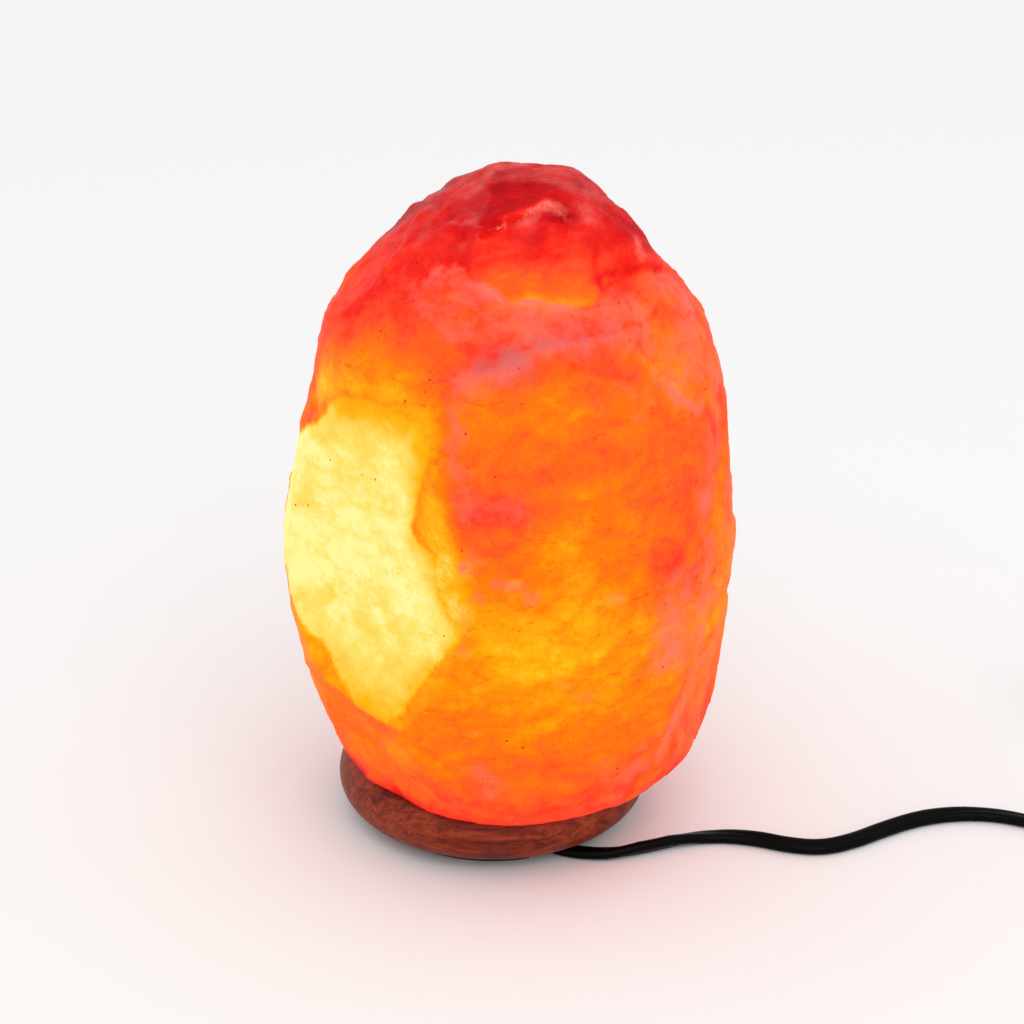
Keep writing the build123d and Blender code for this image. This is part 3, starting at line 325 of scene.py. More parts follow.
# Strokes on the crystal, from the thin face and the summit down to the foot: the level that each
# one brings, how strongly, how wide in mm, and the places in mm that it runs through.
glow_strokes = (
    # the fringe round the thin face, the band beside it, and the veil over the shoulder
    (0.88, 0.95, 7.5, ((-18, -53, 157), (-15, -56, 152), (-16, -58, 145), (-18, -58, 135),
        (-17, -59, 126), (-15, -62, 118), (-13, -64, 109), (-11, -67, 101))),
    (0.70, 0.9, 6, ((-6, -69, 88), (-12, -67, 74), (-21, -61, 61), (-27, -54, 50))),
    (0.86, 0.95, 9, ((-52, -20, 156), (-42, -33, 163), (-28, -46, 163))),
    (0.68, 0.7, 7, ((-45, -26, 168), (-34, -38, 171), (-24, -44, 168))),
    (0.48, 0.8, 4.5, ((-11, -51, 170), (-11, -56, 155), (-10, -60, 145), (-8, -63, 137),
        (-6, -66, 126))),
    (0.36, 0.95, 6, ((-2, -65, 132), (3, -65, 135), (9, -66, 132))),
    (0.44, 0.7, 4, ((-4, -67, 125), (3, -68, 124))),
    (0.34, 0.85, 5.5, ((-4, -50, 174), (9, -48, 178), (20, -45, 181), (32, -42, 179))),
    (0.44, 0.7, 6, ((-6, -52, 169), (6, -53, 170), (20, -49, 174), (35, -46, 171))),
    # upper left shoulder
    (0.26, 0.8, 9, ((-46, -4, 177), (-42, -23, 178), (-35, -20, 186), (-35, 2, 188))),
    (0.42, 0.7, 7, ((-30, -30, 184), (-21, -33, 188), (-12, -36, 189))),
    (0.4, 0.7, 4, ((-53, -9, 166), (-54, -10, 155))),
    # red summit
    (0.0, 0.95, 7, ((-6, 19, 209), (-16, 15, 206), (-23, 9, 202), (-29, 13, 196))),
    (0.24, 0.8, 8, ((-11, -18, 204), (-15, -24, 198), (-21, -26, 193))),
    (0.26, 0.7, 8, ((29, -11, 207), (38, -10, 200), (44, -11, 194))),
    (0.1, 0.9, 7, ((33, 2, 209), (40, -3, 202), (47, -4, 194))),
    # ledge over the dished shelf
    (0.34, 0.9, 2.2, ((-3, -21, 203), (4, -18, 206), (13, -16, 209), (17, -13, 210))),
    # the shelf itself
    (0.50, 0.9, 5.5, ((3, -32, 193), (11, -36, 191), (20, -35, 190), (30, -31, 190))),
    (0.68, 0.9, 2.8, ((9, -38, 189), (16, -40, 188), (25, -36, 188))),
    (0.18, 0.9, 2.5, ((32, -27, 191), (38, -19, 191), (46, -13, 191), (51, -7, 188))),
    # right shoulder
    (0.44, 0.8, 7, ((50, -15, 186), (58, -11, 178))),
    (0.62, 0.9, 6, ((50, -29, 174), (54, -30, 167), (57, -30, 163))),
    (0.7, 0.9, 3, ((45, -39, 172), (50, -38, 166), (56, -36, 158), (62, -29, 154))),
    (0.66, 0.8, 3, ((66, -22, 152), (70, -17, 141))),
    (0.44, 0.7, 5, ((55, -41, 151), (59, -37, 145))),
    # right flank
    (0.5, 0.75, 14, ((59, -39, 140), (58, -45, 123), (60, -45, 110))),
    (0.66, 0.8, 5, ((68, -30, 122), (69, -30, 116), (70, -30, 107))),
    (0.22, 0.95, 3.0, ((49, -55, 111), (53, -52, 109), (56, -49, 110))),
    (0.44, 0.7, 5, ((47, -56, 112), (60, -46, 105))),
    (0.28, 0.9, 1.6, ((68, -33, 100),)),
    (0.28, 0.9, 1.6, ((61, -43, 110),)),
    (0.4, 0.7, 3, ((61, -41, 67), (55, -47, 59))),
    # orange heart of the front
    (0.63, 0.8, 9, ((-6, -57, 158), (6, -57, 161), (20, -55, 162))),
    (0.66, 0.7, 5, ((-5, -56, 161), (11, -57, 159), (23, -57, 157))),
    (0.5, 0.8, 6, ((0, -61, 147), (11, -62, 146), (23, -60, 148), (32, -58, 145))),
    (0.52, 0.7, 6, ((6, -63, 141), (20, -62, 141))),
    (0.66, 0.8, 8, ((26, -62, 136), (32, -62, 127), (20, -66, 124))),
    (0.62, 0.7, 10, ((38, -58, 135), (41, -58, 126))),
    (0.56, 0.7, 6, ((3, -59, 155), (-12, -60, 143))),
    (0.74, 0.8, 7, ((19, -67, 120), (26, -67, 107))),
    (0.83, 0.95, 10, ((3, -71, 93), (12, -70, 89), (20, -69, 90), (26, -68, 94))),
    (0.84, 0.8, 5, ((11, -71, 92), (20, -69, 88), (5, -70, 82))),
    (0.76, 0.8, 8, ((0, -70, 75), (15, -69, 73), (23, -67, 74))),
    (0.62, 0.8, 6, ((2, -69, 111), (9, -69, 116))),
    (0.86, 0.9, 4.5, ((-17, -59, 124), (-14, -63, 116), (-12, -66, 107))),
    # the lower edge, and the notch at the left
    (0.54, 0.8, 7, ((0, -66, 51), (15, -66, 49), (33, -61, 48), (45, -55, 52))),
    (0.46, 0.8, 6, ((-7, -62, 35), (9, -63, 32), (24, -61, 32), (36, -57, 36))),
    (0.66, 0.8, 6, ((-28, -50, 44), (-16, -62, 47), (-15, -64, 59))),
    (0.15, 0.6, 2.5, ((-46, -25, 31), (-38, -29, 24), (-25, -43, 23))),
    (0.4, 0.9, 2.2, ((-57, -14, 138), (-56, -16, 142))),
)
# Strokes of milky salt and of painted highlights along the ledges, rims and ridges, with the same
# columns as the glow strokes.
milk_and_highlight_strokes = (
    (0.75, 0.9, 3.2, ((-11, -52, 167), (-11, -56, 155), (-11, -59, 147), (-9, -62, 140),
        (-7, -64, 132))),
    (0.6, 0.8, 3.5, ((-6, -67, 120), (-7, -69, 113), (-4, -70, 108))),
    (0.75, 0.9, 3, ((-10, -67, 117), (-5, -68, 116), (-3, -68, 117))),
    (0.7, 0.9, 3, ((3, -69, 113), (9, -69, 112), (11, -70, 109))),
    (0.5, 0.8, 4, ((-6, -70, 102), (-9, -70, 92), (-7, -69, 78), (-10, -68, 74))),
    (0.45, 0.8, 7, ((-3, -64, 135), (7, -65, 135))),
    (0.8, 0.9, 5, ((-6, -52, 169), (3, -52, 171), (11, -48, 178), (26, -44, 178), (36, -39, 179),
        (44, -34, 179))),
    (0.45, 0.8, 6, ((-22, -32, 190), (-14, -36, 188), (-6, -42, 184), (2, -46, 179))),
    (0.5, 0.8, 5, ((20, -42, 185), (32, -37, 184), (44, -26, 183))),
    (0.8, 0.8, 3, ((-48, 1, 175), (-51, -10, 170), (-53, -11, 160))),
    (0.7, 0.9, 2.5, ((-1, 6, 213), (4, 9, 214), (9, 13, 214))),
    (0.6, 0.8, 3, ((28, -15, 206), (32, -13, 204))),
    (0.9, 0.9, 1.6, ((44, -7, 197), (45, -11, 193))),
    (1.0, 0.95, 2.0, ((-3, -21, 203), (1, -19, 205), (4, -18, 206), (9, -18, 206), (13, -16, 209),
        (16, -14, 210), (19, -13, 210), (20, -15, 208), (21, -16, 206))),
    (0.6, 0.9, 1.4, ((-12, -13, 205), (-9, -17, 205), (-6, -18, 206), (-3, -21, 204))),
    (1.0, 0.95, 1.5, ((-2, -35, 192), (3, -38, 189), (9, -40, 188), (17, -40, 187),
        (26, -38, 187))),
    (0.7, 0.85, 7, ((52, -12, 185), (58, -9, 179), (59, -19, 173))),
    (0.9, 0.9, 2.4, ((44, -38, 174), (46, -39, 170), (50, -39, 165), (56, -37, 157),
        (62, -30, 152))),
    (0.8, 0.9, 4, ((38, -37, 180), (41, -32, 182), (44, -36, 177))),
    (0.7, 0.9, 4, ((68, -16, 156), (69, -16, 146), (70, -19, 137))),
    (0.6, 0.85, 5, ((65, -30, 139), (66, -30, 132), (64, -36, 125))),
    (0.8, 0.85, 2.6, ((64, -35, 127), (64, -37, 123), (65, -38, 116), (67, -35, 108),
        (66, -38, 99))),
    (0.85, 0.9, 12, ((57, -49, 95), (63, -41, 87), (54, -51, 83))),
    (0.85, 0.85, 2.6, ((71, -15, 70), (69, -18, 66), (65, -26, 63), (62, -34, 60), (58, -44, 57),
        (54, -47, 49), (51, -48, 42))),
    (0.6, 0.8, 3, ((44, -54, 42), (47, -53, 49), (53, -49, 54))),
    (0.4, 0.8, 5, ((20, -68, 78), (28, -66, 75))),
    (0.35, 0.8, 5, ((37, -63, 105), (35, -64, 97))),
    (0.4, 0.8, 6, ((32, -53, 158), (44, -47, 159), (39, -48, 163))),
    (0.6, 0.8, 5, ((-3, -65, 47), (-1, -64, 42))),
    (0.5, 0.8, 5, ((33, -60, 45), (46, -52, 38), (39, -54, 33))),
    (0.5, 0.8, 4, ((-6, -67, 62), (-11, -67, 65))),
    (0.6, 0.9, 2, ((-57, -14, 138), (-56, -16, 142))),
)
# Strokes of grey haze in the salt, and of the overhead light's painted sheen on the summit.
haze_and_sheen_strokes = (
    (0.75, 1, 3.2, ((-2, -51, 173), (3, -50, 175), (9, -49, 177), (13, -47, 179))),
    (0.5, 1, 3, ((13, -47, 179), (20, -46, 179), (27, -43, 179), (34, -40, 179))),
    (0.35, 1, 3.5, ((9, -51, 175), (11, -52, 172))),
    (0.8, 1, 3, ((-9, 21, 208), (-16, 15, 206), (-20, 7, 204))),
    (0.6, 1, 3.2, ((-24, 7, 201), (-29, 8, 195), (-34, 9, 190))),
    (0.5, 1, 2.2, ((-17, 1, 206), (-18, -11, 203))),
    (0.35, 1, 2.5, ((21, 14, 214), (30, 9, 211), (34, 4, 208))),
    (0.5, 1, 1.8, ((67, -26, 70), (65, -27, 65))),
)
# The thin face that the bulb shines through: the way that it faces, how far out its plane lies,
# how far behind the plane its points may be, and its outline, all in mm.
thin_facing = (-0.66, -0.746, 0.084)
thin_plane = 65.5
thin_reach = 24
thin_face = ((-44, -33, 157), (-39, -38, 159), (-33, -43, 159), (-29, -47, 158), (-25, -50, 157),
    (-20, -53, 156), (-17, -55, 151), (-18, -57, 145), (-21, -55, 139), (-22, -54, 130),
    (-24, -53, 123), (-22, -55, 119), (-18, -59, 116), (-17, -61, 112), (-16, -62, 106),
    (-12, -66, 100), (-8, -70, 96), (-12, -68, 90), (-17, -64, 81), (-24, -60, 71),
    (-26, -58, 66), (-26, -59, 64), (-33, -51, 55), (-37, -47, 56), (-41, -43, 57),
    (-45, -42, 63), (-48, -38, 66), (-53, -33, 74), (-58, -28, 77), (-66, -18, 84),
    (-72, -10, 100), (-74, -8, 116), (-68, -8, 132), (-55, -23, 144), (-50, -28, 152))
# Levels by height in mm: the light in the thick salt and in the thin face, then milk with painted
# highlight, and haze with painted sheen.
glow_by_height = (
    (23, 0.42), (40, 0.48), (50, 0.56), (62, 0.66), (78, 0.72), (92, 0.74), (104, 0.68),
    (116, 0.62), (128, 0.58), (142, 0.55), (156, 0.60), (165, 0.54), (173, 0.48), (181, 0.42),
    (187, 0.34), (196, 0.26), (205, 0.15), (214, 0.10),
)
thin_by_height = (
    (52, 0.70), (60, 0.83), (70, 0.90), (80, 0.95), (95, 0.98), (110, 1.00), (136, 0.98),
    (148, 0.93), (156, 0.86), (160, 0.83),
)
milk_and_highlight_by_height = ((23, 0.28), (45, 0.2), (60, 0.10), (150, 0.14), (185, 0.18), (214, 0.3))
haze_and_sheen_by_height = ((23, 0.0), (60, 0.0), (195, 0.05), (214, 0.3))
# The crystal's right side is in less light: how much less, and where across it that sets in.
right_shade = 0.08
right_side = (40, 72)
# Crisp-edged faces of the front, seen along front_facing: how ragged the edge is, the fields
# inside by height in mm, and the outline in mm.
front_facing = (0, -0.91, 0.415)
front_faces = (
    # the coral slope round the dished shelf
    (1.8, {"glow": ((180, 0.46), (196, 0.42)), "milk": ((180, 0.60), (196, 0.72))}, (
        (-21, -27, 192), (-16, -27, 196), (-11, -28, 197), (-7, -31, 196), (-5, -33, 193),
        (-2, -35, 192), (2, -38, 190), (10, -41, 187), (20, -41, 186), (30, -37, 186),
        (44, -26, 183), (47, -28, 181), (44, -34, 179), (34, -40, 180), (20, -44, 179),
        (9, -47, 178), (-2, -46, 178), (-12, -43, 178), (-21, -37, 183))),
    # the dished shelf
    (0.7, {
        "glow": ((186, 0.70), (189, 0.60), (193, 0.44), (198, 0.32), (206, 0.26)),
        "milk": ((186, 0.1),),
    }, (
        (-4, -21, 204), (-6, -25, 201), (-6, -29, 197), (-5, -33, 193), (-2, -35, 192),
        (2, -38, 190), (6, -40, 188), (10, -41, 187), (20, -40, 186), (30, -36, 186),
        (31, -33, 189), (35, -26, 189), (40, -19, 190), (46, -13, 191), (44, -10, 195),
        (36, -11, 202), (28, -14, 206), (22, -16, 205), (16, -18, 207), (12, -18, 206),
        (3, -20, 204))),
    # the glassy red summit
    (0.6, {"glow": ((203, 0.09), (214, 0.04)), "milk": ((203, 0.0),), "haze": ((203, 0.0),)}, (
        (-2, 0, 212), (6, -1, 213), (19, -4, 213), (27, -7, 210), (21, -14, 209), (18, -13, 210),
        (13, -16, 209), (9, -17, 207), (5, -18, 206), (1, -19, 205), (-3, -21, 203), (-4, -19, 205),
        (-2, -11, 208), (0, -7, 210))),
    # the face on the right shoulder
    (0.9, {"glow": ((152, 0.60), (179, 0.50)), "milk": ((152, 0.45), (179, 0.30))}, (
        (44, -36, 176), (45, -39, 171), (48, -39, 167), (52, -39, 161), (57, -36, 156),
        (63, -30, 152), (66, -22, 152), (68, -15, 155), (67, -10, 163), (64, -10, 170),
        (60, -14, 175), (53, -22, 178), (48, -27, 179), (45, -32, 178))),
    # the lower left face
    (0.9, {
        "glow": (
            (20, 0.18), (24, 0.34), (30, 0.50), (40, 0.56), (50, 0.60), (60, 0.66), (76, 0.76),
        ),
        "milk": ((23, 0.15),),
    }, (
        (-57, -28, 77), (-53, -33, 72), (-48, -38, 65), (-45, -42, 62), (-42, -42, 55),
        (-37, -46, 53), (-32, -50, 50), (-28, -51, 44), (-22, -55, 39), (-16, -59, 34),
        (-9, -59, 30), (-1, -58, 24), (-16, -54, 23), (-28, -42, 21), (-38, -32, 22),
        (-46, -25, 28), (-53, -20, 38), (-58, -19, 52), (-60, -19, 66))),
)
# Strokes of light over the thin face.
thin_strokes = (
    (0.82, 0.9, 5, ((-17, -55, 151), (-19, -57, 143), (-21, -55, 137), (-21, -54, 126))),
    (0.84, 0.8, 4, ((-21, -55, 119), (-16, -61, 108), (-9, -69, 96), (-13, -67, 87))),
    (0.84, 0.8, 4, ((-19, -63, 79), (-26, -58, 66), (-36, -48, 56))),
    (0.80, 0.8, 4, ((-44, -33, 157), (-33, -43, 159), (-25, -50, 157))),
    (1.05, 0.9, 7, ((-33, -48, 141), (-31, -50, 133), (-33, -49, 126), (-35, -48, 118))),
    (1.04, 0.8, 6, ((-46, -37, 138), (-48, -37, 120), (-45, -40, 105))),
    (1.0, 0.8, 5, ((-35, -50, 103), (-33, -52, 92))),
)
# Creases carved into the crystal: the rise (below 0, so a depth), the width, the places in mm.
crystal_creases = (
    (-0.9, 1.4, ((-2, -22, 202), (4, -19, 205), (13, -17, 208), (18, -15, 209))),
    (-1.3, 1.5, ((34, -28, 189), (39, -20, 190), (46, -14, 190), (52, -7, 187))),
    (-0.8, 1.6, ((44, -30, 181), (46, -34, 175), (48, -36, 170), (52, -36, 165), (59, -33, 156))),
    (-0.8, 1.8, ((69, -19, 71), (64, -30, 67), (59, -43, 61), (54, -47, 50), (49, -49, 41))),
    (-0.8, 1.6, ((62, -38, 129), (64, -38, 120), (66, -36, 108), (65, -39, 99))),
    (-1.2, 1.6, ((73, -22, 91), (67, -35, 97))),
    (-0.6, 1.4, ((-54, -16, 146), (-52, -24, 147))),
    (-0.7, 1.5, ((-12, -18, 203), (-8, -22, 203), (-4, -23, 201))),
    (-0.6, 1.4, ((-1, -29, 196), (3, -30, 194), (6, -34, 192))),
    (-0.6, 1.4, ((17, -30, 194), (20, -25, 197), (23, -24, 196))),
    (-0.6, 2, ((-11, -53, 165), (-12, -56, 154), (-11, -59, 145), (-8, -63, 137), (-6, -65, 129))),
    (-0.5, 1.6, ((-3, -52, 171), (3, -51, 174), (13, -48, 178), (32, -42, 179), (43, -34, 179))),
    (-0.7, 1.5, ((34, 6, 208), (38, 3, 205), (39, -1, 203))),
    (-0.7, 1.5, ((-22, 17, 202), (-15, -5, 206), (-13, -12, 205))),
)
# Broken faces all over it: their size in mm, their lean next to the facet depth, their pattern.
broken_faces = ((24, 0.9, 3), (9, 1.0, 8), (4, 1.1, 6))
# Chips and ledges: their size in mm and their pattern, and how deep they go.
chip_pattern = (6, 5)
ledge_pattern = (15, 2)
chip_depth = 0.22
thin_step = 0.3
# How far the surface may rise over the CAD's: in general, and above summit_height.
greatest_rise = 0.8
summit_rise = 0.2
summit_height = 210
# Only the outside is carved: above the bore's tip or beyond its wall, and over the underside.
# The pairs are where the carving starts and where it is full.
bore_tip = 118
bore_wall = (29, 36)
underside = (23.0, 25.0)
# The smooth swell that the painted relief shading is measured against, the way that the painted
# light comes from, and the shares of that painted light and of the crests, painted lighter than the
# hollows.
swell_middle = (5, -4, 100)
swell_radii = np.array((70, 66, 125))
painted_light_direction = (-0.25, -0.25, 0.94)
painted_light_share = 0.7
crest_highlight_share = 0.4
# From outside to inside, in mm: the soft edges of the faces, how far behind a face its paint
# reaches, and the edges of the thin face's light and of its step.
face_edge = (-0.5, 0.9)
face_reach = (-12, -5)
pane_edge = (-0.5, 1.2)
step_edge = (-0.8, 1.2)
# The paint's borders wander: the size of the bends in mm, their patterns, how far they go.
warp_size = 8
warp_seeds = (11, 12, 13)
stroke_warp = 1.5
thin_warp = 1.1
# The salt's colour from no light to full light.
salt_by_light = (
    (0.0, "#a40a12"), (0.12, "#cc0d12"), (0.26, "#ee2213"), (0.40, "#f94a24"), (0.52, "#fb6618"),
    (0.64, "#fd7d02"), (0.76, "#fda002"), (0.85, "#fdb90c"), (0.91, "#fed04c"), (0.96, "#fee36a"),
    (1.0, "#fdf79c"),
)


class CrystalSettings(bpy.types.PropertyGroup):
    """The crystal's make-up."""

    grain: bpy.props.FloatProperty(
        name="Grain", description="Size of the mesh that carries the chips",
        default=0.0012, unit="LENGTH", min=0.001, max=0.004,
    )
    facet_depth: bpy.props.FloatProperty(
        name="Facet depth", description="How strongly the broken faces lean",
        default=0.10, min=0.0, max=0.5,
    )
    glow: bpy.props.FloatProperty(
        name="Glow", description="Light that the salt gives off",
        default=0.90, min=0.0, max=5.0,
    )


def crystal_mesh(settings):
    """The crystal's block in fine mesh, with broken faces and chips on its outside, and their
    painted light and shade.
    """
    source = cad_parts["salt_crystal"]
    shape = bmesh.new()
    shape.from_mesh(source.data)
    bmesh.ops.remove_doubles(shape, verts=shape.verts, dist=1e-6)
    block = bpy.data.meshes.new("crystal_block")
    shape.to_mesh(block)
    shape.free()
    holder = new_piece("crystal_block", block)
    remesh = holder.modifiers.new("Fine mesh", "REMESH")
    remesh.mode = "VOXEL"
    remesh.voxel_size = settings.grain * 1
    remesh.use_smooth_shade = True
    graph = bpy.context.evaluated_depsgraph_get()
    fine = bpy.data.meshes.new_from_object(holder.evaluated_get(graph))
    bpy.data.objects.remove(holder)
    bpy.data.meshes.remove(block)
    points = coordinates(fine)
    normals = point_rows(fine, "normal")
    radius = np.hypot(points[:, 0], points[:, 1])
    outside = np.where(points[:, 2] > bore_tip, 1.0, smoothstep(radius, *bore_wall))
    outside *= smoothstep(points[:, 2], *underside)
    noise.seed_set(facet_seed)
    big, small, tiny = (
        cell_facets(points, size, settings.facet_depth * lean, seed)
        for size, lean, seed in broken_faces
    )
    chips = rough(points, *chip_pattern) * chip_depth
    ledges = ridged(points, *ledge_pattern) * chip_depth
    crest = small + tiny + chips - ledges
    height = big + crest
    for rise, width, line in crystal_creases:
        height += rise * stroke_share(points, line, width)
    height -= thin_step * smoothstep(thin_depth(points), *step_edge)
    limit = np.where(points[:, 2] > summit_height, summit_rise, greatest_rise)
    height = np.minimum(height * outside, limit)
    points += normals * height[:, None]
    fine.vertices.foreach_set("co", (points / mm_per_metre).ravel())
    fine.update()
    # Painted light and shade: a place is painted lighter where its face leans up towards the
    # painted light more than the smooth swell does, darker where it leans away, and lighter on
    # crests than in hollows.
    swell = (points - swell_middle) / swell_radii ** 2
    swell /= np.linalg.norm(swell, axis=1)[:, None]
    lean = (point_rows(fine, "normal") - swell) @ np.array(painted_light_direction)
    paint_points(fine, "painted_relief_shade", lean * painted_light_share + crest * crest_highlight_share + 0.5)
    return fine


def thin_depth(points):
    """How far each point lies inside the thin face, in mm."""
    offset = points @ np.array(thin_facing) - thin_plane
    near = (offset > -thin_reach) & (points[:, 0] < 0)
    return np.where(near, depth_inside(points, thin_face, thin_facing), -np.inf)


def paint_points(mesh, name, values):
    """Stores one number between 0 and 1 for each point."""
    mesh.attributes.new(name, "FLOAT", "POINT").data.foreach_set("value", np.clip(values, 0, 1))


def paint_crystal(mesh):
    """Paints how much light shows through each place, where the salt is milky or has painted
    highlights, and where it is grey with haze or the painted sheen of the overhead light.
    """
    points = coordinates(mesh)
    warp = np.stack([rough(points, warp_size, seed) for seed in warp_seeds], axis=1)
    spots = points + warp * stroke_warp
    shade_right = right_shade * smoothstep(spots[:, 0], *right_side)
    fields = {
        "glow": by_height(spots, glow_by_height) - shade_right,
        "milk": by_height(spots, milk_and_highlight_by_height),
        "haze": by_height(spots, haze_and_sheen_by_height),
    }
    front = points @ np.array(front_facing)
    for ragged, inside, outline in front_faces:
        depth = depth_inside(points + warp * ragged, outline, front_facing)
        hindmost = min(np.array(outline) @ np.array(front_facing))
        share = smoothstep(depth, *face_edge) * smoothstep(front - hindmost, *face_reach)
        for field, steps in inside.items():
            fields[field] += (by_height(spots, steps) - fields[field]) * share
    draw_strokes(fields["glow"], spots, glow_strokes)
    draw_strokes(fields["milk"], spots, milk_and_highlight_strokes)
    draw_strokes(fields["haze"], spots, haze_and_sheen_strokes)
    pane = smoothstep(thin_depth(points + warp * thin_warp), *pane_edge)
    shine = by_height(spots, thin_by_height)
    draw_strokes(shine, spots, thin_strokes)
    fields["glow"] += (shine - fields["glow"]) * pane
    fields["milk"] *= 1 - pane
    fields["haze"] *= 1 - pane
    fields["pane"] = pane
    for name, values in fields.items():
        paint_points(mesh, name, values)


def rock_salt(settings):
    """Rough orange-pink rock salt with the bulb's light in it, and painted light and shade: relief
    shading, highlights, sheen and glints.
    """
    finish = Finish("Rock salt")
    pane = finish.attribute("pane")
    # Painted light and shade of the carved relief, centred on zero: it lightens and darkens the
    # mottle, and adds to the milk and haze on painted-lit faces.
    painted_relief_shade = finish.attribute("painted_relief_shade") - 0.5
    streaks = finish.cloud(1.0, 7, 0.66, finish.scaled((75, 75, 150)), 0.5)
    blotch = finish.cloud(36, 4, 0.6)
    grain = finish.cloud(560, 5, 0.72)
    mottle_and_painted_shade = (streaks - 0.5) * 0.30 + (blotch - 0.5) * 0.12 + (grain - 0.5) * 0.22 + painted_relief_shade * 0.30
    level = finish.attribute("glow") + mottle_and_painted_shade * (1 - pane * 0.6)
    lit = finish.ramp(level, *salt_by_light)
    veil = finish.cloud(110, 6, 0.7)
    milk = finish.attribute("milk")
    # Milky pink: patches of milky salt, and painted highlights on rims, ledges and ridges,
    # strongest where the painted relief light falls.
    milk_and_highlight_share = (milk * (veil * 5.0 - 1.9 + painted_relief_shade * 1.6) + (milk - 0.5) * 0.7).capped()
    lit = finish.mix(milk_and_highlight_share * 0.80, lit, "#fa7468")
    # Grey-mauve: haze in the salt, and the painted sheen of the overhead light on the summit.
    haze_and_sheen_share = (finish.attribute("haze") * (veil * 4.0 - 1.3 + painted_relief_shade)).capped()
    lit = finish.mix(haze_and_sheen_share * 0.80, lit, "#a4676a")
    # Painted glints: tiny pale spots where the painted highlights are brightest.
    painted_glints = finish.cloud(800, 4, 0.75).between(0.52, 0.60) * milk.between(0.80, 0.98)
    lit = finish.mix(painted_glints * 0.5, lit, "#ffc49c")
    veins = finish.cloud(1.0, 5, 0.7, finish.scaled((110, 110, 320)), 0.4).between(0.60, 0.70)
    lit = finish.mix(veins * (1 - pane) * 0.5, lit, "#ee2608")
    gather = finish.cloud(55, 2).between(0.48, 0.60)
    dots = 1 - finish.cells(230).between(0.05, 0.13)
    flecks = 1 - finish.cells(560).between(0.08, 0.20)
    specks = (dots * gather + flecks * gather * 0.45).capped()
    lit = finish.mix(specks * 0.8, lit, "#a83410", "MULTIPLY")
    height = finish.cells(900) * 0.5 + finish.cloud(900, 4, 0.7)
    finish.wear(
        base_color=finish.mix(0.9, lit, "#6e0c04", "MULTIPLY"),
        emission_color=lit,
        emission_strength=settings.glow,
        specular_ior_level=0.03,
        roughness=0.40 + (grain - 0.5) * 0.4,
        normal=finish.bump(height, 0.0006, 0.7),
    )
    return finish


class LampCrystal(bpy.types.Operator):
    """Break, carve and light the block of rock salt"""

    bl_idname = "saltlamp.crystal"
    bl_label = "Salt crystal"

    def execute(self, context):
        settings = context.scene.salt_crystal
        mesh = crystal_mesh(settings)
        paint_crystal(mesh)
        crystal = new_piece("rock_salt_block", mesh)
        clothe(crystal, rock_salt(settings))
        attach(crystal, "root")
        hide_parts("salt_crystal")
        return {"FINISHED"}


# ---------- wooden base and foot ----------
def dark_wood():
    """Turned hardwood, oiled dark red-brown, with fine dark grain."""
    finish = Finish("Dark wood")
    fibre = finish.cloud(1.0, 7, 0.66, finish.scaled((22, 300, 300)), 0.8)
    pores = finish.cloud(1.0, 4, 0.7, finish.scaled((90, 1500, 1500)))
    burrs = finish.cloud(70, 5, 0.7)
    tone = finish.ramp(fibre, (0.3, "#43130a"), (0.48, "#7f2a14"), (0.7, "#a24424"))
    tone = finish.mix(pores.between(0.50, 0.68) * 0.7, tone, "#2a0c07")
    tone = finish.mix(burrs.between(0.54, 0.70) * 0.55, tone, "#3a140d")
    finish.wear(
        base_color=tone,
        specular_ior_level=0.16,
        roughness=0.45 + (fibre - 0.5) * 0.3,
        normal=finish.bump(pores, 0.0002, 0.5),
    )
    return finish


class LampBase(bpy.types.Operator):
    """Finish the turned base, its foot pad and the screws that hold the crystal"""

    bl_idname = "saltlamp.base"
    bl_label = "Wooden base"

    def execute(self, context):
        dress(dark_wood(), "wooden_base")
        dress(moulded("Rubber pad", "#151414", 0.8, 900), "foot_pad")
        dress(metal("Zinc plate", "#b9b8b2", 0.38), "base_screws")
        dress(moulded("Grey nylon", "#8a8a88", 0.5, 500), "wall_plugs")
        return {"FINISHED"}


# ---------- plain finishes ----------
# In metres, how far moulded plastic's tooth and metal's drawn lines stand out. The lines are
# counted to the metre, along and across.
tooth_depth = 0.00008
line_depth = 0.00004
line_scale = (260, 260, 2340)
lighter_share = 0.16


def moulded(name, colour, roughness, scale, coat=0.0):
    """Moulded plastic, resin or rubber with a fine tooth and faint handling marks."""
    finish = Finish(name)
    tooth = finish.cloud(scale * 3, 3, 0.6)
    marks = finish.cloud(scale * 0.1, 4, 0.65)
    tone = finish.mix(marks * 0.35, colour, lighter(colour))
    finish.wear(
        base_color=tone,
        roughness=roughness + (marks - 0.5) * 0.2,
        coat_weight=coat,
        normal=finish.bump(tooth, tooth_depth, 0.5),
    )
    return finish


def lighter(colour):
    """The hex colour a little nearer to grey-white."""
    parts = [int(part + (255 - part) * lighter_share) for part in channels(colour)]
    return "#" + "".join(f"{part:02x}" for part in parts)


def metal(name, colour, roughness):
    """Bare or plated metal with drawn lines and a little tarnish."""
    finish = Finish(name, metallic=1.0)
    lines = finish.cloud(1.0, 3, 0.6, finish.scaled(line_scale))
    tarnish = finish.cloud(120, 4, 0.6)
    tone = finish.mix(tarnish.between(0.45, 0.8) * 0.5, colour, "#6a6258", "MULTIPLY")
    finish.wear(
        base_color=tone,
        roughness=roughness + (lines - 0.5) * 0.25,
        normal=finish.bump(lines, line_depth, 0.5),
    )
    return finish


def clear_glass(name, tint, alpha):
    """Thin blown glass."""
    finish = Finish(name, roughness=0.04, coat_weight=0.3)
    finish.wear(base_color=shade(tint), alpha=alpha + finish.cloud(60, 2) * 0.06)
    return finish


